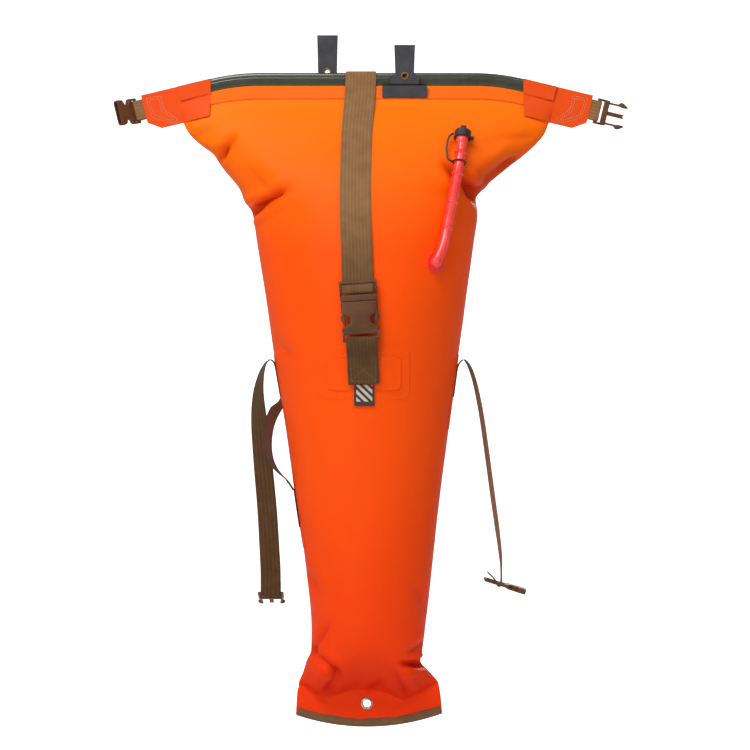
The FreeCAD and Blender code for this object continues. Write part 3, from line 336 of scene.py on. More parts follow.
def webbing(name, light, dark, ribs, width):
    # Woven nylon webbing: ribs along it, a herringbone weft across them, lighter worn crowns, and
    # painted shade where a piece sets its shade attribute.
    finish = Finish(name, Specular_IOR_Level=0.15, Sheen_Weight=0.08, Sheen_Roughness=0.5,
                    Roughness=0.85)
    place = finish.place(useUv=True)
    rib = finish.waves(place, width * mm / ribs, "X")
    weft = finish.waves(place, 0.00125, "DIAGONAL")
    fine = finish.waves(place, 0.0009, "Y", 0.6)
    fuzz = finish.noise(place, 1500, 3)
    wear = finish.noise(place, 60, 4)
    body = finish.math("MULTIPLY", finish.math("ADD", weft, fine), 0.5)
    tone = finish.math("MULTIPLY", rib, 0.16)
    tone = finish.math("ADD", tone, finish.math("MULTIPLY", body, 0.4))
    tone = finish.math("ADD", tone, finish.math("MULTIPLY", wear, 0.5))
    colour = finish.ramp(tone, [(0.2, dark), (0.8, light)])
    # painted shade: the shade attribute darkens the webbing, so the upper centre strap grows
    # darker towards its lower end
    wearAndPaintedShade = finish.node("Attribute", {"attribute_name": "shade"}).outputs["Fac"]
    finish.link("Base Color", finish.mix(wearAndPaintedShade, colour, (0.5, 0.48, 0.45, 1), "MULTIPLY"))
    finish.bump((rib, 0.25, 0.0002), (body, 0.6, 0.00025), (fuzz, 0.3, 0.0001))
    return finish.material


def mouldedPlastic(name, colour, wearAndPaintedShade, roughness=0.42):
    # Moulded acetal: fine spark-eroded grain, paler and duller where it is worn.
    finish = Finish(name, Specular_IOR_Level=0.35)
    place = finish.place()
    grain = finish.noise(place, 1400, 3)
    cloud = finish.noise(place, 45, 4)
    finish.link("Base Color", finish.ramp(cloud, [(0.3, colour), (0.75, wearAndPaintedShade)]))
    finish.rough(cloud, roughness - 0.1, roughness + 0.15)
    finish.bump((grain, 0.35, 0.00012))
    return finish.material


def softRubber(name, colour, lit, roughness=0.35, glow=0.0, coat=0.0, rippled=0.2):
    # Flexible moulded rubber or PVC: faint mould ripple, patchy tint, light let in by its glow.
    finish = Finish(name, Subsurface_Weight=glow, Subsurface_Scale=0.004, Coat_Weight=coat,
                    Coat_Roughness=0.2, Specular_IOR_Level=0.5)
    finish.shader.inputs["Subsurface Radius"].default_value = (1.0, 0.25, 0.2)
    place = finish.place()
    cloud = finish.noise(place, 60, 4)
    ripple = finish.noise(place, 320, 2)
    finish.link("Base Color", finish.ramp(cloud, [(0.3, colour), (0.7, lit)]))
    finish.rough(ripple, roughness - 0.4 * rippled, roughness + 0.6 * rippled)
    finish.bump((ripple, rippled, 0.0002))
    return finish.material


def platedMetal(name, colour, dull):
    # Stamped and plated metal: fine scratches and light tarnish.
    finish = Finish(name, Metallic=1.0)
    place = finish.place()
    cloud = finish.noise(place, 260, 4)
    scratch = finish.noise(place, 2600, 2)
    finish.link("Base Color", finish.ramp(cloud, [(0.35, dull), (0.65, colour)]))
    finish.rough(cloud, 0.17, 0.45)
    finish.bump((scratch, 0.15, 0.00005))
    return finish.material


def wovenLabel(name, ground, thread):
    # A woven label: diagonal stripes in pale thread on a dark ground, plain at its sides and foot.
    finish = Finish(name, Roughness=0.75, Sheen_Weight=0.2, Specular_IOR_Level=0.3)
    place = finish.place(useUv=True)
    warp = finish.noise(place, 90, 1)
    stripes = finish.waves(place, 0.0046, "DIAGONAL")
    sharp = finish.ramp(finish.math("ADD", stripes, finish.math("MULTIPLY", warp, 0.2)),
                        [(0.52, (0, 0, 0, 1)), (0.62, (1, 1, 1, 1))])
    split = finish.node("SeparateXYZ", Vector=place)
    side = finish.math("LESS_THAN", finish.math("ABSOLUTE", split.outputs["X"], 0), 0.0095)
    low = finish.math("GREATER_THAN", split.outputs["Y"], -0.0075)
    inside = finish.math("MULTIPLY", side, low)
    finish.link("Base Color", finish.mix(finish.math("MULTIPLY", inside, sharp), ground, thread))
    threads = finish.waves(place, 0.0005, "X")
    picks = finish.waves(place, 0.0004, "Y")
    finish.bump((finish.math("ADD", threads, picks), 0.4, 0.0001))
    return finish.material


# For the bag and the welded band the middle colour is the fabric's own; the top colour is painted
# light from above and the foot colour painted shade.
orange = coatedCloth("bagFabric", paint(255, 122, 4), paint(253, 84, 6), paint(242, 56, 6))
orangeBand = coatedCloth("weldedFabric", paint(246, 108, 14), paint(243, 74, 8),
                         paint(230, 56, 8), 0.46)
orangeWing = coatedCloth("wingFabric", paint(230, 80, 22), paint(230, 80, 22),
                         paint(230, 80, 22), 0.46)
# One side webbing in two copies: painted in shade for the left strap and the strap anchors,
# painted lit for the right strap.
shadedSideWeb = webbing("sideWebbing", paint(98, 70, 42), paint(62, 40, 20), 5, 25.4)
litRightWeb = webbing("rightWebbing", paint(150, 108, 74), paint(102, 70, 44), 5, 25.4)
# One centre webbing in two copies: painted lit for the upper strap and the wings' webbing, painted
# in shade for the lower strap.
litCenterWeb = webbing("centerWebbing", paint(156, 115, 76), paint(104, 74, 44), 9, 38.1)
shadedLowerWeb = webbing("lowerWebbing", paint(104, 74, 44), paint(62, 42, 22), 9, 38.1)
grosgrain = webbing("grosgrain", paint(134, 100, 70), paint(92, 62, 40), 5, 10)
loopWeb = webbing("gripWebbing", paint(104, 46, 24), paint(60, 26, 12), 5, 25.4)
buckleBrown = mouldedPlastic("buckleBrown", paint(86, 50, 26), paint(102, 64, 36))
oliveRail = softRubber("oliveRail", paint(42, 46, 30), paint(54, 58, 40), 0.28,
                       coat=0.5, rippled=0.03)
redTube = softRubber("redTube", paint(250, 46, 46), paint(255, 74, 66), 0.3, glow=0.2, coat=0.25)
blackCap = softRubber("blackCap", paint(28, 28, 30), paint(46, 46, 48), 0.4)
greyTab = softRubber("greyTab", paint(40, 40, 44), paint(56, 56, 62), 0.62)
brass = platedMetal("brass", paint(196, 150, 84), paint(140, 98, 52))
nickel = platedMetal("nickel", paint(208, 206, 200), paint(140, 138, 134))
labelWoven = wovenLabel("labelWoven", paint(70, 50, 40), paint(196, 190, 178))
stitchThread = mouldedPlastic("stitchThread", paint(206, 150, 130), paint(186, 128, 108), 0.7)
webThread = mouldedPlastic("webThread", paint(128, 102, 70), paint(108, 84, 56), 0.8)
print("materials ready")

# The camera's place and the width it takes in, in metres; its sensor in millimetres.
view = {"distance": 3.5, "across": 0.010, "height": -0.3775, "width": 0.9375, "sensor": 36.0}


def setCamera():
    camera = bpy.data.cameras.new("camera")
    camera.sensor_width = view["sensor"]
    camera.lens = view["sensor"] * view["distance"] / view["width"]
    holder = placed("camera", camera)
    holder.location = (view["across"], -view["distance"], view["height"])
    holder.rotation_euler = (math.pi / 2, 0, 0)
    bpy.context.scene.camera = holder
    bpy.context.scene.view_settings.view_transform = "Standard"


def setLamp(name, place, aim, power, breadth, depth):
    lamp = bpy.data.lights.new(name, "AREA")
    lamp.energy, lamp.size = power, breadth
    lamp.shape, lamp.size_y = "RECTANGLE", depth
    holder = placed(name, lamp)
    holder.location = place
    holder.visible_camera = False
    holder.rotation_euler = (Vector(aim) - Vector(place)).to_track_quat("-Z", "Y").to_euler()


def setStage():
    # A sheet under the bag that curves up behind it: an arc between two flats. The camera sees
    # the sheet and the sky brighter than they light the bag.
    floorLevel, back, radius, half, height = cadLow.z / mm - 130, 3900, 500, 4400, 2400
    turn = np.linspace(0, math.pi / 2, 16)
    y = np.concatenate([[-half], back + radius * np.sin(turn), [back + radius]])
    z = np.concatenate([[floorLevel], floorLevel + radius * (1 - np.cos(turn)), [height]])
    x = np.array([-half, half])
    points = np.stack(np.broadcast_arrays(x[None], y[:, None], z[:, None]), -1)
    finish = Finish("paleSheet", Base_Color=(0.85, 0.85, 0.85, 1), Roughness=0.9,
                    Emission_Color=(1, 1, 1, 1))
    seen = finish.node("LightPath").outputs["Is Camera Ray"]
    finish.link("Emission Strength", finish.math("ADD", finish.math("MULTIPLY", seen, 0.9), 0.12))
    mesh = bpy.data.meshes.new("paleSheet")
    mesh.from_pydata(points.reshape(-1, 3) * mm, [], gridFaces(len(y), 2, flip=True).tolist())
    mesh.materials.append(finish.material)
    placed("paleSheet", mesh)
    world = bpy.data.worlds.new("studio")
    world.use_nodes = True
    tree = world.node_tree
    background = tree.nodes["Background"]
    background.inputs["Color"].default_value = (1, 1, 1, 1)
    path = tree.nodes.new("ShaderNodeLightPath")
    strength = tree.nodes.new("ShaderNodeMapRange")
    strength.inputs["To Min"].default_value = 0.3
    strength.inputs["To Max"].default_value = 1.0
    tree.links.new(path.outputs["Is Camera Ray"], strength.inputs["Value"])
    tree.links.new(strength.outputs[0], background.inputs["Strength"])
    bpy.context.scene.world = world


setCamera()
setStage()
setLamp("overhead", (-0.75, -1.4, 1.5), (0, 0, -0.25), 36, 1.5, 0.6)
setLamp("frontFill", (-1.2, -2.5, 0.3), (0, 0, -0.45), 14, 0.9, 0.9)
setLamp("sideStrip", (0.9, -1.3, 1.0), (0.12, 0, -0.1), 4, 0.9, 0.2)
setLamp("rearFill", (0.7, 2.4, 0.6), (0, 0, -0.4), 16, 0.9, 0.9)
print("camera and lights set")

bag = {
    # drop below the closure's top, then half width to the left and to the right
    "outline": [(17, 239, 239), (34, 238, 238), (62, 229, 227), (77, 221, 221), (91, 206, 209),
                (102, 191, 196), (118, 180, 175), (147, 157, 142), (158, 153, 135),
                (176, 142, 137), (209, 137, 133), (284, 125, 122.5), (359, 114, 112.5),
                (434, 101.5, 102.5), (534, 87.5, 89.5), (621, 75, 80), (696, 68.5, 71.5),
                (722, 69, 68), (734, 74, 66), (752, 79, 78), (771, 85, 88), (822, 88.5, 94)],
    # drop, then half depth
    "bulge": [(17, 4.2), (34, 8.4), (64, 30), (92, 50), (118, 69), (147, 85), (178, 96),
              (230, 107.4), (284, 111.6), (409, 97.6), (534, 81.6), (659, 68.6), (704, 61),
              (726, 52), (744, 39), (757, 24), (766, 9), (771, 2.6), (776, 1.6), (822, 1.6)],
    # how far the crease over the hem dips at each x
    "dip": [(-86, 0), (-56, 13), (-26, 2), (0, 0), (24, 2), (47, 15), (88, 0)],
    "rows": 300, "columns": 256, "top": 16.6, "hem": 816.0, "hemRadius": 275.0, "wall": 0.9,
    # folds pressed into the cloth: side (-1 front, 1 back), from (x, drop) to (x, drop),
    # how deep, and how wide it is on each side
    "folds": [(-1, (-166, 82), (-182, 108), 9, 4.6), (-1, (-184, 104), (-204, 98), 3, 5),
              (-1, (-104, 152), (-152, 180), 15, 5.6), (-1, (-146, 122), (-122, 150), 3, 8),
              (-1, (100, 122), (138, 158), 13, 6.5), (-1, (134, 150), (184, 110), 8, 9),
              (-1, (-196, 66), (-222, 82), 3, 6), (-1, (150, 88), (204, 78), 3, 9),
              (-1, (-48, 688), (-72, 724), 5, 4.2), (-1, (-74, 716), (-38, 744), 6, 5),
              (-1, (44, 734), (72, 738), 10, 4.6), (-1, (50, 722), (76, 708), 4, 5),
              (-1, (20, 754), (2, 772), 3, 4), (-1, (-86, 770), (-54, 786), 3, 3.4),
              (-1, (90, 768), (46, 790), 3, 3.4), (-1, (-36, 742), (-52, 778), 5, 6),
              (-1, (36, 744), (50, 780), 5, 6), (-1, (-84, 610), (-62, 640), 2.4, 6),
              (-1, (60, 640), (76, 676), 2.4, 7), (-1, (-118, 330), (-96, 352), 2, 7),
              (1, (-110, 150), (-150, 176), 11, 6), (1, (96, 122), (140, 158), 13, 7),
              (1, (-60, 726), (-10, 744), 6, 6), (1, (70, 730), (30, 742), 6, 6),
              (1, (-172, 92), (-190, 118), 7, 6), (1, (50, 700), (10, 690), 3, 7),
              (1, (-50, 744), (-60, 780), 5, 6), (1, (30, 744), (44, 780), 5, 6)],
}
closure = {"straight": 134.0, "bend": 261.0, "droop": math.radians(13.5), "height": 17.0}


def closureDrop(x, depth):
    # The closure's line: level, then an arc, then straight at the droop's slope.
    along = np.abs(x) - closure["straight"]
    radius = closure["bend"] - depth
    end = radius * math.sin(closure["droop"])
    onArc = closure["bend"] - np.sqrt(radius ** 2 - np.clip(along, 0, end) ** 2)
    return onArc + np.maximum(along - end, 0) * math.tan(closure["droop"])


outlineDrops, outlineLeft, outlineRight = np.array(bag["outline"]).T


def faceDepth(drop):
    # How far the blown-up skin stands off the middle plane at a drop.
    return smoothThrough(*np.array(bag["bulge"]).T, np.asarray(drop, float))


def creaseDip(x):
    # How far the crease over the hem sags at a place across it.
    return smoothThrough(*np.array(bag["dip"]).T, x)


def hemRise(x):
    # The hem's arc: how far it is above its lowest point.
    return bag["hemRadius"] - np.sqrt(bag["hemRadius"] ** 2 - np.clip(x, -120, 120) ** 2)


def widths(drop):
    # Half widths left and right of a row, read where its ends really are once the closure droops.
    droop = closureDrop(235.0, closure["height"]) - closure["height"]
    real = drop + droop * (1 - smoothStep(17, 110, drop))
    return (smoothThrough(outlineDrops, outlineLeft, real),
            smoothThrough(outlineDrops, outlineRight, real))


def restSkin(drop, turn):
    # Rows are half ellipses with their own left and right half widths, bent to closure and hem.
    left, right = widths(drop)
    x = np.cos(turn) * np.where(np.cos(turn) < 0, left, right)
    y = -np.sin(turn) * faceDepth(drop - creaseDip(x) * smoothStep(690, 745, drop))
    droop = closureDrop(x, closure["height"]) - closure["height"]
    lift = hemRise(x) * smoothStep(735, 800, drop)
    return np.stack([x, y, -(drop + droop * (1 - smoothStep(17, 110, drop))) + lift], -1)


def foldField(x, drop, side):
    # Each fold is a groove whose depth falls off with distance from its line, softly at its ends.
    total = np.zeros(np.broadcast(x, drop).shape)
    for foldSide, start, end, depth, breadth in bag["folds"]:
        a, b = np.array(start, float), np.array(end, float)
        span = b - a
        px, py = x - a[0], drop - a[1]
        t = (px * span[0] + py * span[1]) / (span @ span)
        off = (px * span[1] - py * span[0]) / math.sqrt(span @ span)
        ends = np.exp(-((np.clip(np.abs(t - 0.5) - 0.35, 0, None) / 0.28) ** 2))
        deepen = 0.55 + 0.45 * np.clip(t, 0, 1)
        sharp = (np.sqrt(off ** 2 + 1.44) - 1.2) / breadth
        lips = np.exp(-(((np.abs(off) - 2.3 * breadth) / breadth) ** 2))
        groove = np.exp(-1.3 * sharp) * np.exp(-((off / (2.6 * breadth)) ** 2)) - 0.3 * lips
        total += np.where(side == foldSide, 1.3 * depth * deepen * ends * groove, 0)
    return total


def softRipple(x, drop, side):
    # Long shallow waves in the blown-up cloth, stronger near the seams and the foot.
    a = np.sin(0.031 * x + 0.011 * drop + 1.3 * side) * np.sin(0.019 * drop - 0.013 * x)
    b = np.sin(0.083 * x - 0.021 * drop + side) * np.sin(0.047 * drop + 0.4)
    foot = smoothStep(640, 760, drop) * (1 - smoothStep(775, 790, drop))
    return 0.9 * a + (0.35 + 1.1 * foot) * b


def normalsOf(grid):
    # Cross product of the two grid directions, with columns running round the closed skin.
    around = np.roll(grid, -1, 1) - np.roll(grid, 1, 1)
    down = np.gradient(grid, axis=0)
    return unit(np.cross(down, around))


skinRows = np.linspace(bag["top"], bag["hem"], bag["rows"])
skinTurns = np.linspace(0, 2 * math.pi, bag["columns"], endpoint=False)
restGrid = restSkin(skinRows[:, None], skinTurns[None])
sideGrid = np.where(np.sin(skinTurns) >= 0, -1, 1)[None] + np.zeros((bag["rows"], 1))
outward = normalsOf(restGrid)
outward *= np.sign(np.sum(outward * restGrid * [1, 1, 0], -1).mean())
# nothing is pressed in beside the closure, and little near the hem
calm = smoothStep(36, 60, skinRows)[:, None] * (1 - 0.75 * smoothStep(770, 784, skinRows))[:, None]
grooves = foldField(restGrid[..., 0], skinRows[:, None], sideGrid)
seamFade = np.abs(np.sin(skinTurns))[None] ** 0.25
foldFade = smoothStep(0.0, 0.3, np.abs(np.sin(skinTurns)))[None]
ripple = softRipple(restGrid[..., 0], skinRows[:, None], sideGrid)
pressed = (ripple * seamFade - grooves * foldFade) * calm
skinGrid = restGrid + outward * pressed[..., None]
skinOut = normalsOf(skinGrid)
skinOut *= np.sign(np.sum(skinOut * outward, -1).mean())
# painted shade in the folds, over the crease and under the right shoulder
skinShade = 0.8 * np.clip(grooves / 10, 0, 1) * (sideGrid < 0.5) * calm
fromCrease = skinRows[:, None] - creaseDip(restGrid[..., 0])
shadeOverHem = smoothStep(712, 764, fromCrease) * (1 - smoothStep(769, 774, fromCrease))
shadeOverHem *= np.exp(-((restGrid[..., 0] / 78) ** 6))
shadeUnderShoulder = np.exp(-(((skinRows - 150) / 42) ** 2))[:, None]
shadeUnderShoulder = shadeUnderShoulder * smoothStep(84, 150, restGrid[..., 0])
skinShade = np.clip(skinShade + 0.6 * shadeOverHem + 0.65 * shadeUnderShoulder, 0, 0.9)


def sampled(grid, drop, turn):
    # Between grid points: the mean of the four round a place, by how near it is to each.
    row = (np.clip(drop, bag["top"], bag["hem"]) - bag["top"]) / (skinRows[1] - skinRows[0])
    column = turn / (2 * math.pi) * bag["columns"]
    row, column = np.broadcast_arrays(row, column)
    i = np.clip(row.astype(int), 0, bag["rows"] - 2)
    j = np.floor(column).astype(int)
    s, t = (row - i)[..., None], (column - j)[..., None]
    j, k = j % bag["columns"], (j + 1) % bag["columns"]
    return ((grid[i, j] * (1 - t) + grid[i, k] * t) * (1 - s)
            + (grid[i + 1, j] * (1 - t) + grid[i + 1, k] * t) * s)


def onSkin(x, drop, side, lift):
    # A point on the skin's front (-1) or back (1) face, and a distance off it.
    x, drop = np.broadcast_arrays(np.asarray(x, float), np.asarray(drop, float))
    left, right = widths(drop)
    turn = np.arccos(np.clip(x / np.where(x < 0, left, right), -1, 1))
    turn = turn if side < 0 else 2 * math.pi - turn
    out = unit(sampled(skinOut, drop, turn))
    return sampled(skinGrid, drop, turn) + out * np.asarray(lift)[..., None]


def thicken(obj, gauge):
    # Gives a sheet its gauge, inwards.
    solid = obj.modifiers.new("gauge", "SOLIDIFY")
    solid.thickness = gauge * mm
    solid.offset = -1


# The hem's grommet, and how far from its middle the cloth is cut away.
grommet = {"drop": 788.0, "cut": 6.0, "inner": 4.75, "outer": 8.0, "off": 1.75}


def makeSkin():
    # The two panels share the grid's columns at the side seams.
    half = bag["columns"] // 2
    for name, node, first in (("skinFront", "front_panel", 0), ("skinBack", "back_panel", half)):
        columns = (np.arange(half + 1) + first) % bag["columns"]
        points = skinGrid[:, columns]
        quads = gridFaces(bag["rows"], half + 1, flip=True)
        centres = points.reshape(-1, 3)[quads].mean(1)
        solid = np.hypot(centres[:, 0], centres[:, 2] + grommet["drop"]) > grommet["cut"]
        piece = makePiece(name, points, quads[solid].tolist(), "bag", orange)
        setShade(piece, skinShade[:, columns])
        thicken(piece, bag["wall"])
        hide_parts(node)


makeSkin()
print("skin made")

sheets = {
    "gauge": 0.8, "bandTop": 17.6, "bandBottom": 34.0, "bandEnd": 200.0,
    # width, height and drop of the middle
    "patch": (112, 65, 375.5), "patchTop": (90, 42, 375.5), "label": (24.5, 26, 402),
    "backPatch": (80, 80, 130), "across": -3.0, "backAcross": -11,
    "sideHalf": 22.0, "sideLeft": (352, 592), "sideRight": (352, 445),
}


def bandPiece(name, side, node):
    # A strip that follows the closure, from end to end of the mouth.
    columns, count = 180, 9
    x = np.linspace(-sheets["bandEnd"], sheets["bandEnd"], columns)
    rows = np.linspace(sheets["bandTop"], sheets["bandBottom"], count)
    edge = 0.25 * np.exp(-(((rows - sheets["bandBottom"] + 1.2) / 0.9) ** 2))
    points = onSkin(x[None], rows[:, None], side, sheets["gauge"] + edge[:, None] + x[None] * 0)
    faces = gridFaces(count, columns, flip=side > 0).tolist()
    piece = makePiece(name, points, faces, "bag", orangeBand)
    thicken(piece, sheets["gauge"])
    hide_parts(node)


def patchPiece(name, size, across, side, lift, node, material, corner=9.0):
    # Rings of one rounded rectangle from its middle out; the last ring turns down to the skin.
    (width, height, drop), count = size, 128
    turns = np.linspace(0, 2 * math.pi, count, endpoint=False)
    rings = np.concatenate([np.linspace(0.02, 0.9, 14), [0.95, 0.975, 0.99, 1.0]])
    raised = np.interp(rings, [0, 0.9, 0.95, 0.975, 0.99, 1.0], [0, 0, 0.45, 0.5, 0.2, -0.75])
    c, s = superEllipse(turns, corner)
    x = across + width / 2 * rings[:, None] * c[None]
    d = drop + height / 2 * rings[:, None] * s[None]
    points = onSkin(x, d, side, lift + raised[:, None] + x * 0)
    faces = gridFaces(len(rings), count, wrap=True, flip=side < 0).tolist()
    centre = list(range(count))
    faces.append(centre if side < 0 else centre[::-1])
    uv = np.stack([x - across, drop - d], -1).reshape(-1, 2) * mm
    cornerUv = uv[np.concatenate([np.array(f) for f in faces])]
    piece = makePiece(name, points, faces, "bag", material, cornerUv)
    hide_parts(node)
    return piece


def sidePatch(name, side, span, node):
    # A strip folded round the side seam, even in depth on both faces.
    rows = np.linspace(*span, 60)
    reach = np.linspace(-1, 1, 41)
    angle = np.arcsin(np.clip(sheets["sideHalf"] / faceDepth(rows)[:, None], -1, 1)) * reach[None]
    turn = (math.pi - angle if side < 0 else angle) % (2 * math.pi)
    drop = rows[:, None] + angle * 0
    points = sampled(skinGrid, drop, turn) + unit(sampled(skinOut, drop, turn)) * sheets["gauge"]
    faces = gridFaces(len(rows), len(reach), flip=side > 0).tolist()
    piece = makePiece(name, points, faces, "bag", orangeBand)
    thicken(piece, sheets["gauge"])
    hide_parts(node)


bandPiece("headerBandFront", -1, "header_band_front")
bandPiece("headerBandBack", 1, "header_band_back")
across, gauge = sheets["across"], sheets["gauge"]
patchPiece("frontPatch", sheets["patch"], across, -1, gauge, "front_patch", orange)
patchPiece("frontPatchTop", sheets["patchTop"], across, -1, 2 * gauge, "front_patch_top", orange)
patchPiece("backPatch", sheets["backPatch"], sheets["backAcross"], 1, gauge, "back_patch",
           orangeBand)
label = patchPiece("label", sheets["label"], across, -1, 2 * gauge + 0.9, "label", labelWoven,
                   corner=24.0)
sidePatch("sidePatchLeft", -1, sheets["sideLeft"], "side_patch_left")
sidePatch("sidePatchRight", 1, sheets["sideRight"], "side_patch_right")


def hemTape():
    # A U-shaped binding carried along the hem's arc.
    x = np.linspace(-88.2, 93.6, 90)
    wave = 0.5 * np.sin(x * 0.11) + 0.35 * np.sin(x * 0.27 + 1)
    line = np.stack([x, x * 0, -bag["hem"] + hemRise(x)], -1)
    thick, inner, rise = 2.9, 1.9, 9.5
    profile = np.array([(-thick, rise), (-thick, 4), (-thick, 0), (-thick * 0.8, -0.8),
                        (-thick * 0.4, -1.1), (thick * 0.4, -1.1), (thick * 0.8, -0.8), (thick, 0),
                        (thick, 4), (thick, rise), (inner, rise + 0.1), (inner, 0.2),
                        (-inner, 0.2), (-inner, rise + 0.1)])
    shaped = np.tile(profile, (len(x), 1, 1))
    shaped[..., 1] += np.where(profile[:, 1] > 3, 1, 0)[None] * wave[:, None]
    across = np.tile([0.0, 1.0, 0.0], (len(x), 1))
    piece = carriedPiece("hemTape", line, across, shaped, "bag", grosgrain)
    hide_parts("hem_tape")


hemTape()
print("sheets made")

web = {"gauge": 1.6, "side": 25.4, "center": 38.1, "pitch": 1.2}


def webProfile(width, ribs):
    # Round-edged rectangle with shallow ribs on both faces; starts at one edge's middle.
    half, thick = width / 2, web["gauge"] / 2
    x = np.linspace(-1, 1, ribs * 6 + 1)
    crown = thick * (0.96 + 0.04 * np.cos(x * math.pi * ribs))
    crown = crown * np.clip((1 - np.abs(x)) * 14, 0.35, 1)
    upper = np.stack([x[::-1] * half, crown[::-1]], -1)
    lower = np.stack([x * half, -crown], -1)
    return np.concatenate([upper, lower])


def turned(angles):
    # The width's direction: along Y, turned about Z by an angle that changes along the line.
    a = np.radians(angles)
    return np.stack([-np.sin(a), np.cos(a), a * 0], -1)


def ribbonPiece(name, line, across, width, ribs, body, material, node):
    # Webbing carried along a line.
    piece = carriedPiece(name, line, across, webProfile(width, ribs), body, material)
    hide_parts(node)
    return piece


# Where the straps leave the bag, then each route: x, y, z and the width's turn in degrees.
hinge = {"x": 121.47, "z": -358.2}
leftRoute = [(-121.47, 0, -358.2, 0), (-124.4, 0, -360.4, 3), (-128, 0.8, -365.4, 9),
             (-132.3, 3, -377, 18), (-135.8, 7, -396, 30), (-136.4, 12, -420, 46),
             (-134.6, 15, -446, 60), (-129.8, 16, -498, 72), (-125, 16, -550, 78),
             (-122.2, 16, -602, 84), (-121, 16, -622, 90), (-121, 16, -640, 90),
             (-121, 16, -655, 90), (-121, 22, -655, 90), (-121, 22, -646, 90),
             (-121, 22, -637, 90)]
rightRoute = [(121.47, 0, -358.2, 0), (124.6, 0, -361, 4), (128.2, 0, -367, 7),
              (132, 0, -376.6, 8), (136.8, 0, -394, 9), (143.4, 0, -428, 10),
              (149.8, 0, -474, 10), (156.4, 0, -524, 10), (163.2, 0, -572, 9),
              (167.4, 0, -606, 5), (167.9, 0, -624, 0), (167.9, 0, -641, 0),
              (161.9, 0, -641, 0), (161.9, 0, -634, 0), (150.9, 0, -624, 0)]
handleRoute = [(-107.4, 0, -404, 0), (-107.6, 0, -409, 10), (-112.8, -4, -418, 40),
               (-121.6, -10.5, -436, 34), (-124.4, -11.4, -458, 27), (-122.4, -10, -478, 22),
               (-116.6, -6, -492, 16), (-107.8, -2, -502, 8), (-99.0, 0, -509.5, 0),
               (-92.0, 0, -521, 0)]


def twistedRibbon(name, route, **rest):
    # A strap that follows its route, its width turned between the route's angles.
    route = np.array(route, float)
    line = even(spline(route[:, :3], 12), web["pitch"])
    across = turned(np.interp(shares(line), shares(route[:, :3]), route[:, 3]))
    return ribbonPiece(name, line, across, web["side"], 5, **rest), line


leftStrap, leftLine = twistedRibbon("leftStrap", leftRoute, body="left_strap",
                                    material=shadedSideWeb, node="left_strap")
rightStrap, rightLine = twistedRibbon("rightStrap", rightRoute, body="right_strap",
                                      material=litRightWeb, node="right_strap")
_, handleLine = twistedRibbon("handle", handleRoute, body="bag", material=loopWeb,
                              node="handle")
print("strap lengths", lineLength(leftLine), lineLength(rightLine), lineLength(handleLine))


def lowerShift(z):
    # How far the lower centre strap stands to the left, by height.
    return smoothThrough([-390, -350, -331], [-3.4, -5.2, -6.2], z)


def centerStraps():
    # The upper strap: from the back patch, over the closure and down the front, then round the
    # buckle's bar with its tail turned up in front. The lower one: up from the patch, round the
    # other half's bar and down again.
    lift = 2.5
    back = [(float(faceDepth(d)) + lift, -d) for d in (147, 118, 92, 64)]
    over = [(12.5, -34), (6.6, -14), (5.7, -3), (4.2, 1.1), (0, 1.3), (-4.2, 1.1), (-5.7, -3),
            (-6.6, -14), (-12.5, -34)]
    down = [(-float(faceDepth(d)) - lift, -d) for d in (64, 92, 118, 147, 178, 212, 236)]
    bar = [(-112.6, -252), (-114.4, -262), (-116.2, -267), (-120.8, -269.6), (-121.6, -273.8),
           (-120.9, -277.9), (-117.4, -278.2), (-113.6, -273), (-112.6, -262), (-110.8, -248),
           (-109.0, -232)]
    line = even(spline([(0, y, z) for y, z in back + over + down + bar], 12), web["pitch"])
    front = line[:, 1] < 0
    shift = smoothThrough([-270, -230, -170, -90, 0, 5], [-11, -12, -14, -13, -7.5, -7.5],
                          line[:, 2])
    line[:, 0] = np.where(front, shift, smoothThrough([-150, -40, 5], [-9, -9, -7.5], line[:, 2]))
    across = np.tile([1.0, 0, 0], (len(line), 1))
    across[:, 2] = 0.07 * smoothStep(-225, -262, line[:, 2]) * front
    across[:, 2] += 0.10 * smoothStep(0.985, 1.0, shares(line))
    upper = ribbonPiece("centerStrapUpper", line, across, web["center"], 8, "bag", litCenterWeb,
                        "center_strap_upper")
    # painted shade: the upper strap grows darker from a drop of 165 mm to 262 mm, away from the
    # light above
    spots = np.zeros(len(upper.data.vertices) * 3)
    upper.data.vertices.foreach_get("co", spots)
    setShade(upper, 0.75 * smoothStep(165, 262, -spots[2::3] / mm))
    lower = [(-103.6, -388), (-107.3, -354.5), (-111.5, -343), (-115, -337), (-115, -331.8),
             (-121, -331.8), (-121.2, -338), (-117.5, -347), (-109.4, -356), (-105.4, -388.6)]
    line = even(spline([(0, y, z) for y, z in lower], 12), web["pitch"])
    line[:, 0] = lowerShift(line[:, 2])
    across = np.tile([1.0, 0, 0.02], (len(line), 1))
    ribbonPiece("centerStrapLower", line, across, web["center"], 8, "bag", shadedLowerWeb,
                "center_strap_lower")


centerStraps()


def sewnEnd(name, side, top, end, node, fold=False):
    # Webbing sewn along a side seam, folded over at its top where a strap swings.
    points = [(side * (float(widths(np.array(d))[0 if side < 0 else 1]) + 1.5), 0, -d)
              for d in np.linspace(end, top, 4)]
    if fold:
        points += [(side * (hinge["x"] - 5), 0, hinge["z"] - 2.2),
                   (side * (hinge["x"] - 1.3), 0, hinge["z"] - 0.2)]
    line = even(spline(points, 12), web["pitch"])
    across = np.tile([0, 1.0, 0], (len(line), 1))
    finish = shadedSideWeb if fold else loopWeb
    ribbonPiece(name, line, across, web["side"], 5, "bag", finish, node)


sewnEnd("leftStrapAnchor", -1, 368, 405, "left_strap_anchor", True)
sewnEnd("rightStrapAnchor", 1, 368, 405, "right_strap_anchor", True)
sewnEnd("handleAnchor", -1, 520.5, 567, "handle_anchor")

rail = {"half": 8.5, "depth": 4.6, "tail": 42.0}


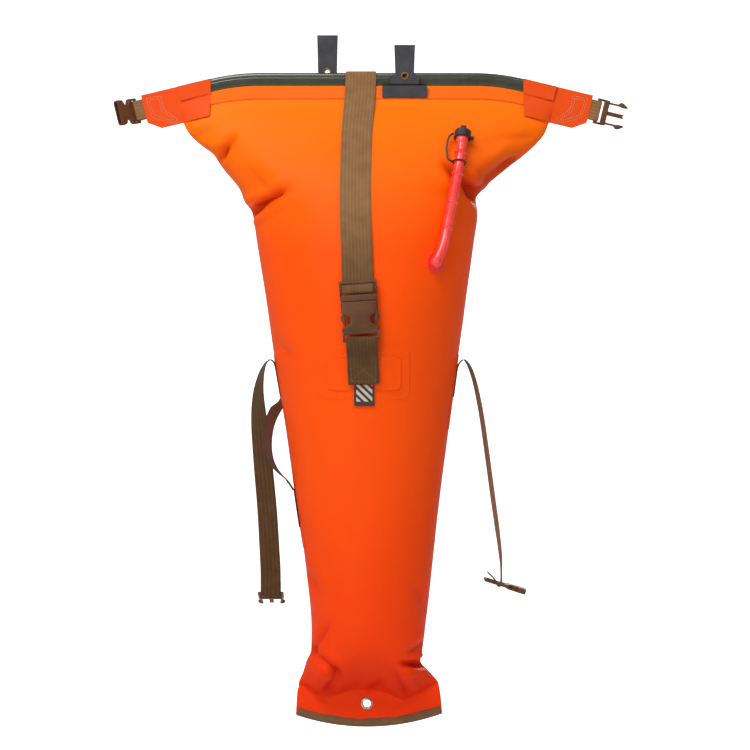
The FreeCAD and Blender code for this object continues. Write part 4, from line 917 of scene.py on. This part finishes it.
def railPiece(name, side, node):
    # A glossy half-round bead along the closure, with a fine groove above its middle.
    radius = closure["bend"] - rail["half"]
    end = radius * math.sin(closure["droop"]) + rail["tail"] * math.cos(closure["droop"])
    x = np.linspace(-closure["straight"] - end, closure["straight"] + end, 260)
    line = np.stack([x, x * 0, -closureDrop(x, rail["half"])], -1)
    rise = np.linspace(-1, 1, 33)
    face = 1.2 + (rail["depth"] - 1.2) * np.abs(1 - np.abs(rise) ** 2.6) ** (1 / 2.6)
    face -= 0.7 * np.exp(-(((rise - 0.32) / 0.06) ** 2))
    face, rise = np.append(face, [0.02, 0.02]), np.append(rise, [1, -1])
    profile = np.stack([side * face, rise * rail["half"]], -1)
    across = np.tile([0.0, 1.0, 0.0], (len(x), 1))
    points, _ = carried(line, across, profile)
    faces = gridFaces(len(x), len(profile), wrap=True).tolist() + endFaces(len(x), len(profile))
    piece = makePiece(name, points, faces, "bag", oliveRail)
    faceOut(piece)
    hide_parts(node)


railPiece("railFront", -1, "rail_front")
railPiece("railBack", 1, "rail_back")

# Where the wings start, and how deep their outer ends are.
wing = {"x": 194.9, "z": -7.2, "end": 35.0}


def wingPoint(side, along, off, down):
    # From along the wing, in front of it and down across it to the bag's frame.
    c, s = math.cos(closure["droop"]), math.sin(closure["droop"])
    along, off, down = np.broadcast_arrays(*[np.asarray(v, float) for v in (along, off, down)])
    return np.stack([side * (wing["x"] + along * c - down * s), off,
                     wing["z"] - along * s - down * c], -1)


def wingWeb(name, side, node):
    # Two plies in the wing that open into a loop round the buckle's bar.
    along = np.array([52, 70, 86, 93, 99.5, 102.6, 102.6, 102.6, 99.5, 93, 86, 70, 52])
    off = np.array([0.9, 0.9, 0.9, 2.2, 3.05, 3.0, 0, -3.0, -3.05, -2.2, -0.9, -0.9, -0.9])
    line = even(spline(wingPoint(side, along, off, wing["end"] / 2), 10), 1.0)
    across = np.tile(wingPoint(side, 0, 0, 1) - wingPoint(side, 0, 0, 0), (len(line), 1))
    ribbonPiece(name, line, across, web["side"], 5, "bag", litCenterWeb, node)


wingWeb("wingWebLeft", -1, "wing_web_left")
wingWeb("wingWebRight", 1, "wing_web_right")
print("webbing made")


def localFrame(origin, x, z):
    # Turns local points into the bag's frame: X towards the mating half, Z across the webbing.
    x, z = unit(np.array(x, float)), unit(np.array(z, float))
    axes = np.stack([x, np.cross(z, x), z])
    return lambda points: np.asarray(points, float) @ axes + np.array(origin, float)


def lofted(place, x, half, thick, mid=0.0, power=4.0, count=32, stations=None):
    # Superellipses of a half width and half thickness at stations along local X, ends closed.
    values = [np.asarray(v, float) for v in (x, half, thick, mid)]
    x, half, thick, mid = np.broadcast_arrays(*values)
    if stations:
        knots, fine = np.arange(len(x)), np.linspace(0, len(x) - 1, stations)
        x, half, thick, mid = (smoothThrough(knots, v, fine) for v in (x, half, thick, mid))
    turn = np.linspace(0, 2 * math.pi, count, endpoint=False)
    c, s = superEllipse(turn, power)
    points = np.stack(np.broadcast_arrays(
        x[:, None], thick[:, None] * s, mid[:, None] + half[:, None] * c), -1)
    faces = gridFaces(len(x), count, wrap=True).tolist() + endFaces(len(x), count)
    return place(points.reshape(-1, 3)), faces


def joinedPiece(name, parts, body, slotName, material, *nodes):
    # Several closed surfaces as one mesh that stands for its CAD nodes.
    points, faces, start = [], [], 0
    for partPoints, partFaces in parts:
        points.append(partPoints)
        faces += [[i + start for i in face] for face in partFaces]
        start += len(partPoints)
    piece = makePiece(name, np.concatenate(points), faces, body, material)
    faceOut(piece)
    corners = piece.modifiers.new("cornerShade", "WEIGHTED_NORMAL")
    corners.keep_sharp = True
    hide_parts(*nodes)
    return piece


# Side release buckles for the two widths: webbing, frame beyond it, thickness at the shell and
# at the plates, then the lengths of head, prongs and shell. Both share the bars and their gaps.
small = {"web": 25.4, "margin": 3.4, "thick": 7.6, "plate": 3.8, "head": 7.0, "prong": 26.0,
         "shell": 28.0}
large = {"web": 38.1, "margin": 3.6, "thick": 9.6, "plate": 4.8, "head": 8.0, "prong": 32.0,
         "shell": 40.0}
buckle = {"bar": 1.9, "slot": 4.4, "knuckle": 1.7, "wall": 1.6, "ladder": 8.6}


def crossBar(origin, x, z, half, along, radius=buckle["bar"]):
    # A round bar across the buckle at a distance along it.
    x, z = unit(np.array(x, float)), unit(np.array(z, float))
    place = localFrame(np.array(origin, float) + x * along, z, -x)
    ends = [-half, -half + 0.4, half - 0.4, half]
    return lofted(place, ends, [radius * 0.8, radius, radius, radius * 0.8],
                  [radius * 0.8, radius, radius, radius * 0.8], power=2.2, count=20)


def femaleBody(name, kind, bars, origin, x, z, body, *nodes):
    # A waisted hollow shell whose sides open where the prongs press, legs and web bars behind it.
    place = localFrame(origin, x, z)
    half, thick = kind["web"] / 2 + kind["margin"], kind["thick"] / 2
    start = buckle["bar"] + buckle["slot"]
    mouth, wall = start + kind["shell"], buckle["wall"]
    share = np.array([0.99, 0.96, 0.88, 0.80, 0.745, 0.70, 0.64, 0.56, 0.48, 0.43, 0.38, 0.30,
                      0.15, 0.03, 0.0])
    width = np.array([0.90, 0.97, 1.0, 0.985, 0.9, 0.72, 0.60, 0.565, 0.585, 0.67, 0.88,
                      0.975, 0.985, 0.975, 0.95])
    depth = np.array([0.40, 0.55, 0.72, 0.86, 0.93, 0.97, 1, 1, 1, 1, 1, 1, 1, 0.98, 0.93])
    outerX, outerW, outerT = mouth - kind["shell"] * share, half * width, thick * depth
    innerX = mouth - kind["shell"] * np.array([0.0, 0.02, 0.15, 0.3, 0.34])
    innerW = np.array([0.95, 0.97, 0.97, 0.96, 0.9]) * half - wall
    innerT = np.array([0.93, 0.95, 1, 1, 0.9]) * thick - wall
    shell = lofted(place, np.concatenate([outerX, innerX]), np.concatenate([outerW, innerW]),
                   np.concatenate([outerT, innerT]), power=5.0, count=48, stations=110)
    back = buckle["ladder"] * bars
    leg = (kind["margin"] - 0.6) / 2
    parts = [shell]
    for side in (-1, 1):
        parts.append(lofted(place, [-back - 2.2, -back - 1.6, -back, start, start + 6],
                            [leg * 0.5, leg * 0.9, leg, leg, leg * 0.9],
                            np.array([0.5, 0.85, 1, 1, 0.9]) * kind["plate"] / 2,
                            mid=side * (half - leg), power=4.0, count=24))
    for i in range(bars + 1):
        parts.append(crossBar(origin, x, z, half - 1, -buckle["ladder"] * i))
    return joinedPiece(name, parts, body, "buckle", buckleBrown, *nodes)


def frameSizes(kind, ladder):
    # Half width and half thickness, and where the head starts: past the ladder's second bar.
    headStart = (buckle["ladder"] if ladder else 0) + buckle["bar"] + buckle["slot"]
    return kind["web"] / 2 + kind["margin"], kind["plate"] / 2, headStart


def maleFrame(name, kind, ladder, origin, x, z, body, *nodes):
    # A rounded frame: two legs, web bars, a head, and a grooved centre guide.
    place = localFrame(origin, x, z)
    half, plate, headStart = frameSizes(kind, ladder)
    head = headStart + kind["head"]
    leg = (kind["margin"] - 0.6) / 2
    reach = head + kind["prong"] - 5.5
    parts = [crossBar(origin, x, z, half - 0.6, 0, 2.2)]
    if ladder:
        parts.append(crossBar(origin, x, z, half - 1, buckle["ladder"]))
    for side in (-1, 1):
        parts.append(lofted(place, [-2.3, -1.8, -0.6, headStart * 0.5, headStart + 1],
                            np.array([0.6, 0.95, 1.15, 1, 1]) * leg,
                            np.array([0.5, 0.85, 1.1, 1, 1]) * plate,
                            mid=side * (half - leg), power=3.6, count=24))
    stations = [headStart - 0.1, headStart + 0.5, headStart + 2, head - 2, head - 0.5, head]
    parts.append(lofted(place, stations, half * np.array([0.985, 1, 1, 0.99, 0.97, 0.95]),
                        plate * np.array([0.8, 0.97, 1.05, 1.05, 0.97, 0.8]), power=7, count=48))
    for side in (-1, 1):
        parts.append(lofted(place, [head - 1, reach - 1.2, reach - 0.3, reach],
                            np.array([0.95, 0.95, 0.8, 0.4]), np.array([1.1, 1.1, 0.9, 0.5]),
                            mid=side * 1.7, power=3.5, count=20))
    parts.append(lofted(place, [head - 1, reach - 1.8, reach - 1.2], [2.2, 2.2, 2.0],
                        [0.55, 0.55, 0.45], power=4, count=16))
    return joinedPiece(name, parts, body, "buckle", buckleBrown, *nodes)


def prong(name, kind, ladder, side, origin, x, z, body, node):
    # A slim arm that swells into a shoulder and runs to a rounded point.
    place = localFrame(origin, x, z)
    half, plate, headStart = frameSizes(kind, ladder)
    pivot = headStart + kind["head"] - buckle["knuckle"] - 1
    root = half - buckle["knuckle"] - 1.6
    grow = kind["prong"] / 26.0
    along = pivot + np.array([-1.6, -0.9, 1.5, 8, 12.5, 14.5, 16.5, 19.5, 23, 25.4, 26.2]) * grow
    swell = np.array([0.7, 1.6, 1.5, 1.25, 1.25, 1.9, 2.9, 3.0, 1.9, 0.9, 0.35])
    mid = side * (root + np.array([0, 0, 0, 0, 0, 0.6, 1.3, 0.9, -0.1, -0.7, -0.9]))
    depth = plate * np.array([0.5, 0.85, 0.8, 0.72, 0.72, 0.9, 1.1, 1.1, 0.9, 0.6, 0.3])
    part = lofted(place, along, swell, depth, mid=mid, power=3.2, count=28, stations=50)
    return joinedPiece(name, [part], body, "buckle", buckleBrown, node)


# Each half's place: its main bar, the way to its mating half, and the way across its webbing.
tilt, pitchLeft, pitchRight = math.radians(4), math.radians(20), math.radians(17)
cd, sd, wingTurn = math.cos(closure["droop"]), math.sin(closure["droop"]), math.radians(50)
centerMale = ((-11, -118, -265.5), (math.sin(tilt), 0, -math.cos(tilt)),
              (math.cos(tilt), 0, math.sin(tilt)))
between = (0.3 + 2 * (buckle["bar"] + buckle["slot"]) + buckle["ladder"] + large["head"]
           + large["shell"])
centerFemale = (tuple(np.array(centerMale[0]) + np.array(centerMale[1]) * between),
                tuple(-np.array(centerMale[1])), tuple(-np.array(centerMale[2])))
wingMale = ((287.595, 0, -47.456), (cd, 0, -sd), (sd, 0, cd))
wingFemale = ((-287.595, 0, -47.456),
              (-cd * math.cos(wingTurn), -math.sin(wingTurn), -sd * math.cos(wingTurn)),
              (-sd, 0, cd))
leftMale = ((-121, 19, -652), (0, math.cos(pitchLeft), -math.sin(pitchLeft)), (1, 0, 0))
rightFemale = ((164.9, 0, -638), (math.cos(pitchRight), 0, -math.sin(pitchRight)), (0, 1, 0))

femaleBody("centerBuckleFemale", large, 0, *centerFemale, "bag", "center_buckle_female")
maleFrame("centerBuckleMale", large, True, *centerMale, "bag", "center_buckle_male")
prong("centerProngLeft", large, True, -1, *centerMale, "center_prong_left",
      "center_buckle_male_prong_lower")
prong("centerProngRight", large, True, 1, *centerMale, "center_prong_right",
      "center_buckle_male_prong_upper")
maleFrame("wingBuckleMale", small, False, *wingMale, "wing_male", "wing_buckle_male")
prong("wingProngTop", small, False, 1, *wingMale, "wing_male_prong_top",
      "wing_buckle_male_prong_upper")
prong("wingProngBottom", small, False, -1, *wingMale, "wing_male_prong_bottom",
      "wing_buckle_male_prong_lower")
femaleBody("wingBuckleFemale", small, 0, *wingFemale, "wing_female", "wing_buckle_female")
leftEnd = [maleFrame("leftBuckleMale", small, True, *leftMale, "left_male", "left_buckle_male"),
           prong("leftProngInner", small, True, 1, *leftMale, "left_male_prong_inner",
                 "left_buckle_male_prong_upper"),
           prong("leftProngOuter", small, True, -1, *leftMale, "left_male_prong_outer",
                 "left_buckle_male_prong_lower")]
rightEnd = femaleBody("rightBuckleFemale", small, 2, *rightFemale, "right_female",
                      "right_buckle_female")
print("buckles made")

tube = {"radius": 6.1, "ball": 7.2, "mouth": 7.6, "flare": 15.0, "bead": 1.6,
        "beads": [46, 80, 116, 144]}
tubeRoute = [(84, -93.4, -240), (92, -90.3, -226), (98, -79.8, -198), (104.5, -72.9, -166),
             (110.5, -68.6, -134), (115.5, -59.7, -105), (118.5, -46.46, -78)]
tubeAxis = np.array([0.0992, 0.43933, 0.89283])
tubeMouth = np.array(tubeRoute[-1])


def roundPipe(line, radius, count=40):
    # Circles of a changing radius carried along a line, ends closed.
    turn = np.linspace(0, 2 * math.pi, count, endpoint=False)
    circle = np.stack([np.cos(turn), np.sin(turn)], -1)
    across = np.tile([1.0, 0.05, 0], (len(line), 1))
    points, _ = carried(line, across, circle[None] * np.asarray(radius)[:, None, None])
    faces = gridFaces(len(line), count, wrap=True).tolist() + endFaces(len(line), count)
    return points.reshape(-1, 3), faces


def turnedPart(origin, axis, along, radius, count=48, knurl=0.0):
    # A profile of radii along an axis turned round it, ends closed; knurl makes 24 ridges.
    axis = unit(np.array(axis, float))
    side = unit(np.cross(axis, [0.0, 1.0, 0.0] if abs(axis[1]) < 0.9 else [1.0, 0, 0]))
    other = np.cross(axis, side)
    turn = np.linspace(0, 2 * math.pi, count, endpoint=False)
    rim = 1 + np.asarray(knurl)[..., None] * np.cos(24 * turn)
    r = np.asarray(radius, float)[:, None] * rim
    points = (np.array(origin, float) + np.asarray(along, float)[:, None, None] * axis
              + r[..., None] * (np.cos(turn)[:, None] * side + np.sin(turn)[:, None] * other))
    faces = gridFaces(len(r), count, wrap=True).tolist() + endFaces(len(r), count)
    return points.reshape(-1, 3), faces


def inflationTube():
    # Tube with moulded beads and a flared mouth, on a ball that turns in its foot.
    line = even(spline(tubeRoute, 16), 0.7)
    travelled = shares(line) * lineLength(line)
    radius = tube["radius"] + 0 * travelled
    for bead in tube["beads"]:
        radius += tube["bead"] * np.exp(-(((travelled - bead) / 1.3) ** 2))
        radius -= 0.3 * np.exp(-(((travelled - bead - 3.4) / 1.4) ** 2))
    end = travelled[-1]
    radius += (tube["mouth"] - tube["radius"]) * smoothStep(end - tube["flare"] - 3,
                                                             end - tube["flare"] + 2, travelled)
    radius *= 1 - 0.10 * smoothStep(end - 0.8, end, travelled)
    ball = np.linspace(0, math.pi, 20)
    globe = turnedPart(tubeRoute[0], tubeAxis, -tube["ball"] * np.cos(ball),
                       tube["ball"] * np.sin(ball) + 0.01)
    joinedPiece("inflationTube", [roundPipe(line, radius), globe], "inflation_tube", "tube",
                redTube, "inflation_tube")


inflationTube()
# Radii along the cap from its skirt to its top, how deep its ridges are there, and how far out
# the tether's tag is.
cap = {"along": [-9, -9, -8.6, -7.6, -6.8, -6.2, 0.6, 1.3, 1.6, 1.6],
       "radius": [7.95, 10.4, 10.9, 10.9, 10.3, 9.9, 9.9, 9.4, 8.4, 2.0],
       "knurl": [0, 0, 0, 0, 0, 0.025, 0.025, 0.01, 0, 0], "tag": 11.4}


def tubeCap():
    # A ridged cap with a grip on its top and a tag for the tether at its side.
    place = localFrame(tubeMouth, tubeAxis, np.cross(tubeAxis, [0.0, 1.0, 0.0]))
    shell = turnedPart(tubeMouth, tubeAxis, cap["along"], cap["radius"], 96, cap["knurl"])
    grip = lofted(place, [1.0, 7.6, 8.6, 9.0], [3.9, 3.6, 3.2, 2.4], [3.1, 2.9, 2.5, 1.8],
                  power=5, count=32)
    tag = lofted(place, [-8.8, -8.2, -6.4, -5.8], [2.4, 3.0, 3.0, 2.4], [2.2, 2.6, 2.6, 2.2],
                 mid=-cap["tag"], power=4, count=24)
    joinedPiece("tubeCap", [shell, grip, tag], "tube_cap", "cap", blackCap, "tube_cap")


tubeCap()


def eyelet(name, side, gauge, node):
    # A rolled flange: a quarter-round lip down into the hole and a flat skirt.
    inner, outer, count = grommet["inner"], grommet["outer"], 56
    origin = (0, side * grommet["off"], -grommet["drop"])
    roll = np.linspace(0, math.pi / 2, 8)
    along = np.concatenate([[-gauge * 3], gauge * 1.3 * np.sin(roll),
                            [gauge * 0.9, gauge * 0.35, 0, 0]])
    radius = np.concatenate([[inner], inner + gauge * 1.2 * (1 - np.cos(roll)),
                             [outer - gauge, outer - 0.1, outer, inner + 0.4]])
    points, _ = turnedPart(origin, (0, side, 0), along, radius, count)
    ring, last = np.arange(count), (len(along) - 1) * count
    closing = np.stack([ring, np.roll(ring, -1), np.roll(ring, -1) + last, ring + last], -1)
    faces = gridFaces(len(along), count, wrap=True).tolist() + closing.tolist()
    joinedPiece(name, [(points, faces)], "bag", "nickel", nickel, node)


eyelet("grommetEyelet", -1, 1.0, "grommet_eyelet")
eyelet("grommetWasher", 1, 0.9, "grommet_washer")
print("tube and eyelets made")


def softened(node, name, body, slotName, material, radius):
    # A merged copy of a CAD node with its edges rounded where its faces meet at over 28 degrees.
    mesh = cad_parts[node].data.copy()
    work = bmesh.new()
    work.from_mesh(mesh)
    bmesh.ops.remove_doubles(work, verts=work.verts, dist=2e-6)
    bmesh.ops.dissolve_limit(work, angle_limit=math.radians(1.0), verts=work.verts,
                             edges=work.edges)
    work.to_mesh(mesh)
    work.free()
    mesh.name = name
    mesh.materials.clear()
    mesh.materials.append(material)
    for attribute in ("custom_normal", "sharp_edge", "sharp_face"):
        if attribute in mesh.attributes:
            mesh.attributes.remove(mesh.attributes[attribute])
    mesh.polygons.foreach_set("use_smooth", np.ones(len(mesh.polygons), bool))
    mesh.update()
    obj = placed(name, mesh)
    if radius:
        bevel = obj.modifiers.new("rounding", "BEVEL")
        bevel.width, bevel.segments = radius * mm, 2
        bevel.limit_method, bevel.angle_limit = "ANGLE", math.radians(28)
        bevel.use_clamp_overlap = True
        bevel.harden_normals = True
    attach(obj, body)
    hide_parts(node)


softCopies = [
    # node, piece, body, slot, finish, edge radius
    ("wing_left", "wingLeft", "bag", "coated_fabric", orangeWing, 0.3),
    ("wing_right", "wingRight", "bag", "coated_fabric", orangeWing, 0.3),
    ("front_tab_eyelet", "frontTabEyelet", "front_tab", "brass", brass, 0.25),
    ("back_tab_eyelet", "backTabEyelet", "back_tab", "brass", brass, 0.25),
    ("front_tab_base", "frontTabBase", "bag", "tab", greyTab, 0.4),
    ("back_tab_base", "backTabBase", "bag", "tab", greyTab, 0.4),
    ("front_tab", "frontTab", "front_tab", "tab", greyTab, 0.4),
    ("back_tab", "backTab", "back_tab", "tab", greyTab, 0.4),
    ("tube_foot", "tubeFoot", "bag", "tube", redTube, 0.6),
    ("valve_seat", "valveSeat", "inflation_tube", "valve", redTube, 0.2),
    ("valve_poppet", "valvePoppet", "valve_poppet", "valve", blackCap, 0.2),
    ("tether_ring", "tetherRing", "inflation_tube", "cap", blackCap, 0.0),
    ("cap_tether", "capTether", "inflation_tube", "cap", blackCap, 0.0),
]
for softCopy in softCopies:
    softened(*softCopy)


def stitched(name, paths, dash, pitch, radius, body, material):
    # Rows of short rounded dashes: one lozenge carried to each place along the lines.
    turn = np.linspace(0, 2 * math.pi, 8, endpoint=False)
    along = np.array([-1, -0.8, 0, 0.8, 1]) * dash / 2
    size = radius * np.array([0.3, 0.85, 1, 0.85, 0.3])
    ring = np.stack([np.cos(turn), np.sin(turn)], -1)
    shape = np.concatenate([np.repeat(along, 8)[:, None],
                            (size[:, None, None] * ring).reshape(-1, 2)], 1)
    centres, ways = [], []
    for path in paths:
        line = even(np.asarray(path, float), pitch)
        centres.append((line[1:] + line[:-1]) / 2)
        ways.append(unit(np.diff(line, axis=0)))
    centres, ways = np.concatenate(centres), np.concatenate(ways)
    out = np.tile([0.0, -1.0, 0.0], (len(ways), 1))
    aside = unit(np.cross(ways, out))
    out = np.cross(aside, ways)
    points = (centres[:, None] + shape[None, :, :1] * ways[:, None]
              + shape[None, :, 1:2] * aside[:, None] + 0.6 * shape[None, :, 2:] * out[:, None])
    faces = gridFaces(5, 8, wrap=True).tolist() + endFaces(5, 8)
    faces = [[i + len(shape) * k for i in face] for k in range(len(centres)) for face in faces]
    faceOut(makePiece(name, points, faces, body, material))


def lowerStrapPoint(x, drop):
    # A place on the front of the lower centre strap.
    y = np.interp(drop, [338, 347, 356, 388.6], [-122.4, -118.5, -110.4, -106.4])
    return x + float(lowerShift(-drop)), float(y) - 0.15, -drop


corners = ((-15, 357), (15, 357), (15, 385), (-15, 385), (-15, 357))
box = [lowerStrapPoint(x, d) for x, d in corners]
cross = [[lowerStrapPoint(-15, 357), lowerStrapPoint(15, 385)],
         [lowerStrapPoint(15, 357), lowerStrapPoint(-15, 385)]]
stitched("strapStitches", [box] + cross, 2.2, 3.2, 0.42, "bag", webThread)
# two rows of stitches on each wing: along it and down across it
outer = np.array([(66, 6.3), (85, 5.6), (82.4, 27), (83, 30.4), (58.3, 43.4), (52.2, 40),
                  (66.3, 24.2), (66, 6.3)])
inner = np.array([(68.8, 9), (82, 8.6), (79.6, 28), (59, 40), (57, 38.4), (69.2, 25.4),
                  (68.8, 9)])
for name, side in (("wingStitchesLeft", -1), ("wingStitchesRight", 1)):
    rows = [wingPoint(side, loop[:, 0], -3.1, loop[:, 1]) for loop in (outer, inner)]
    stitched(name, rows, 1.9, 2.9, 0.36, "bag", stitchThread)

print("hardware made")
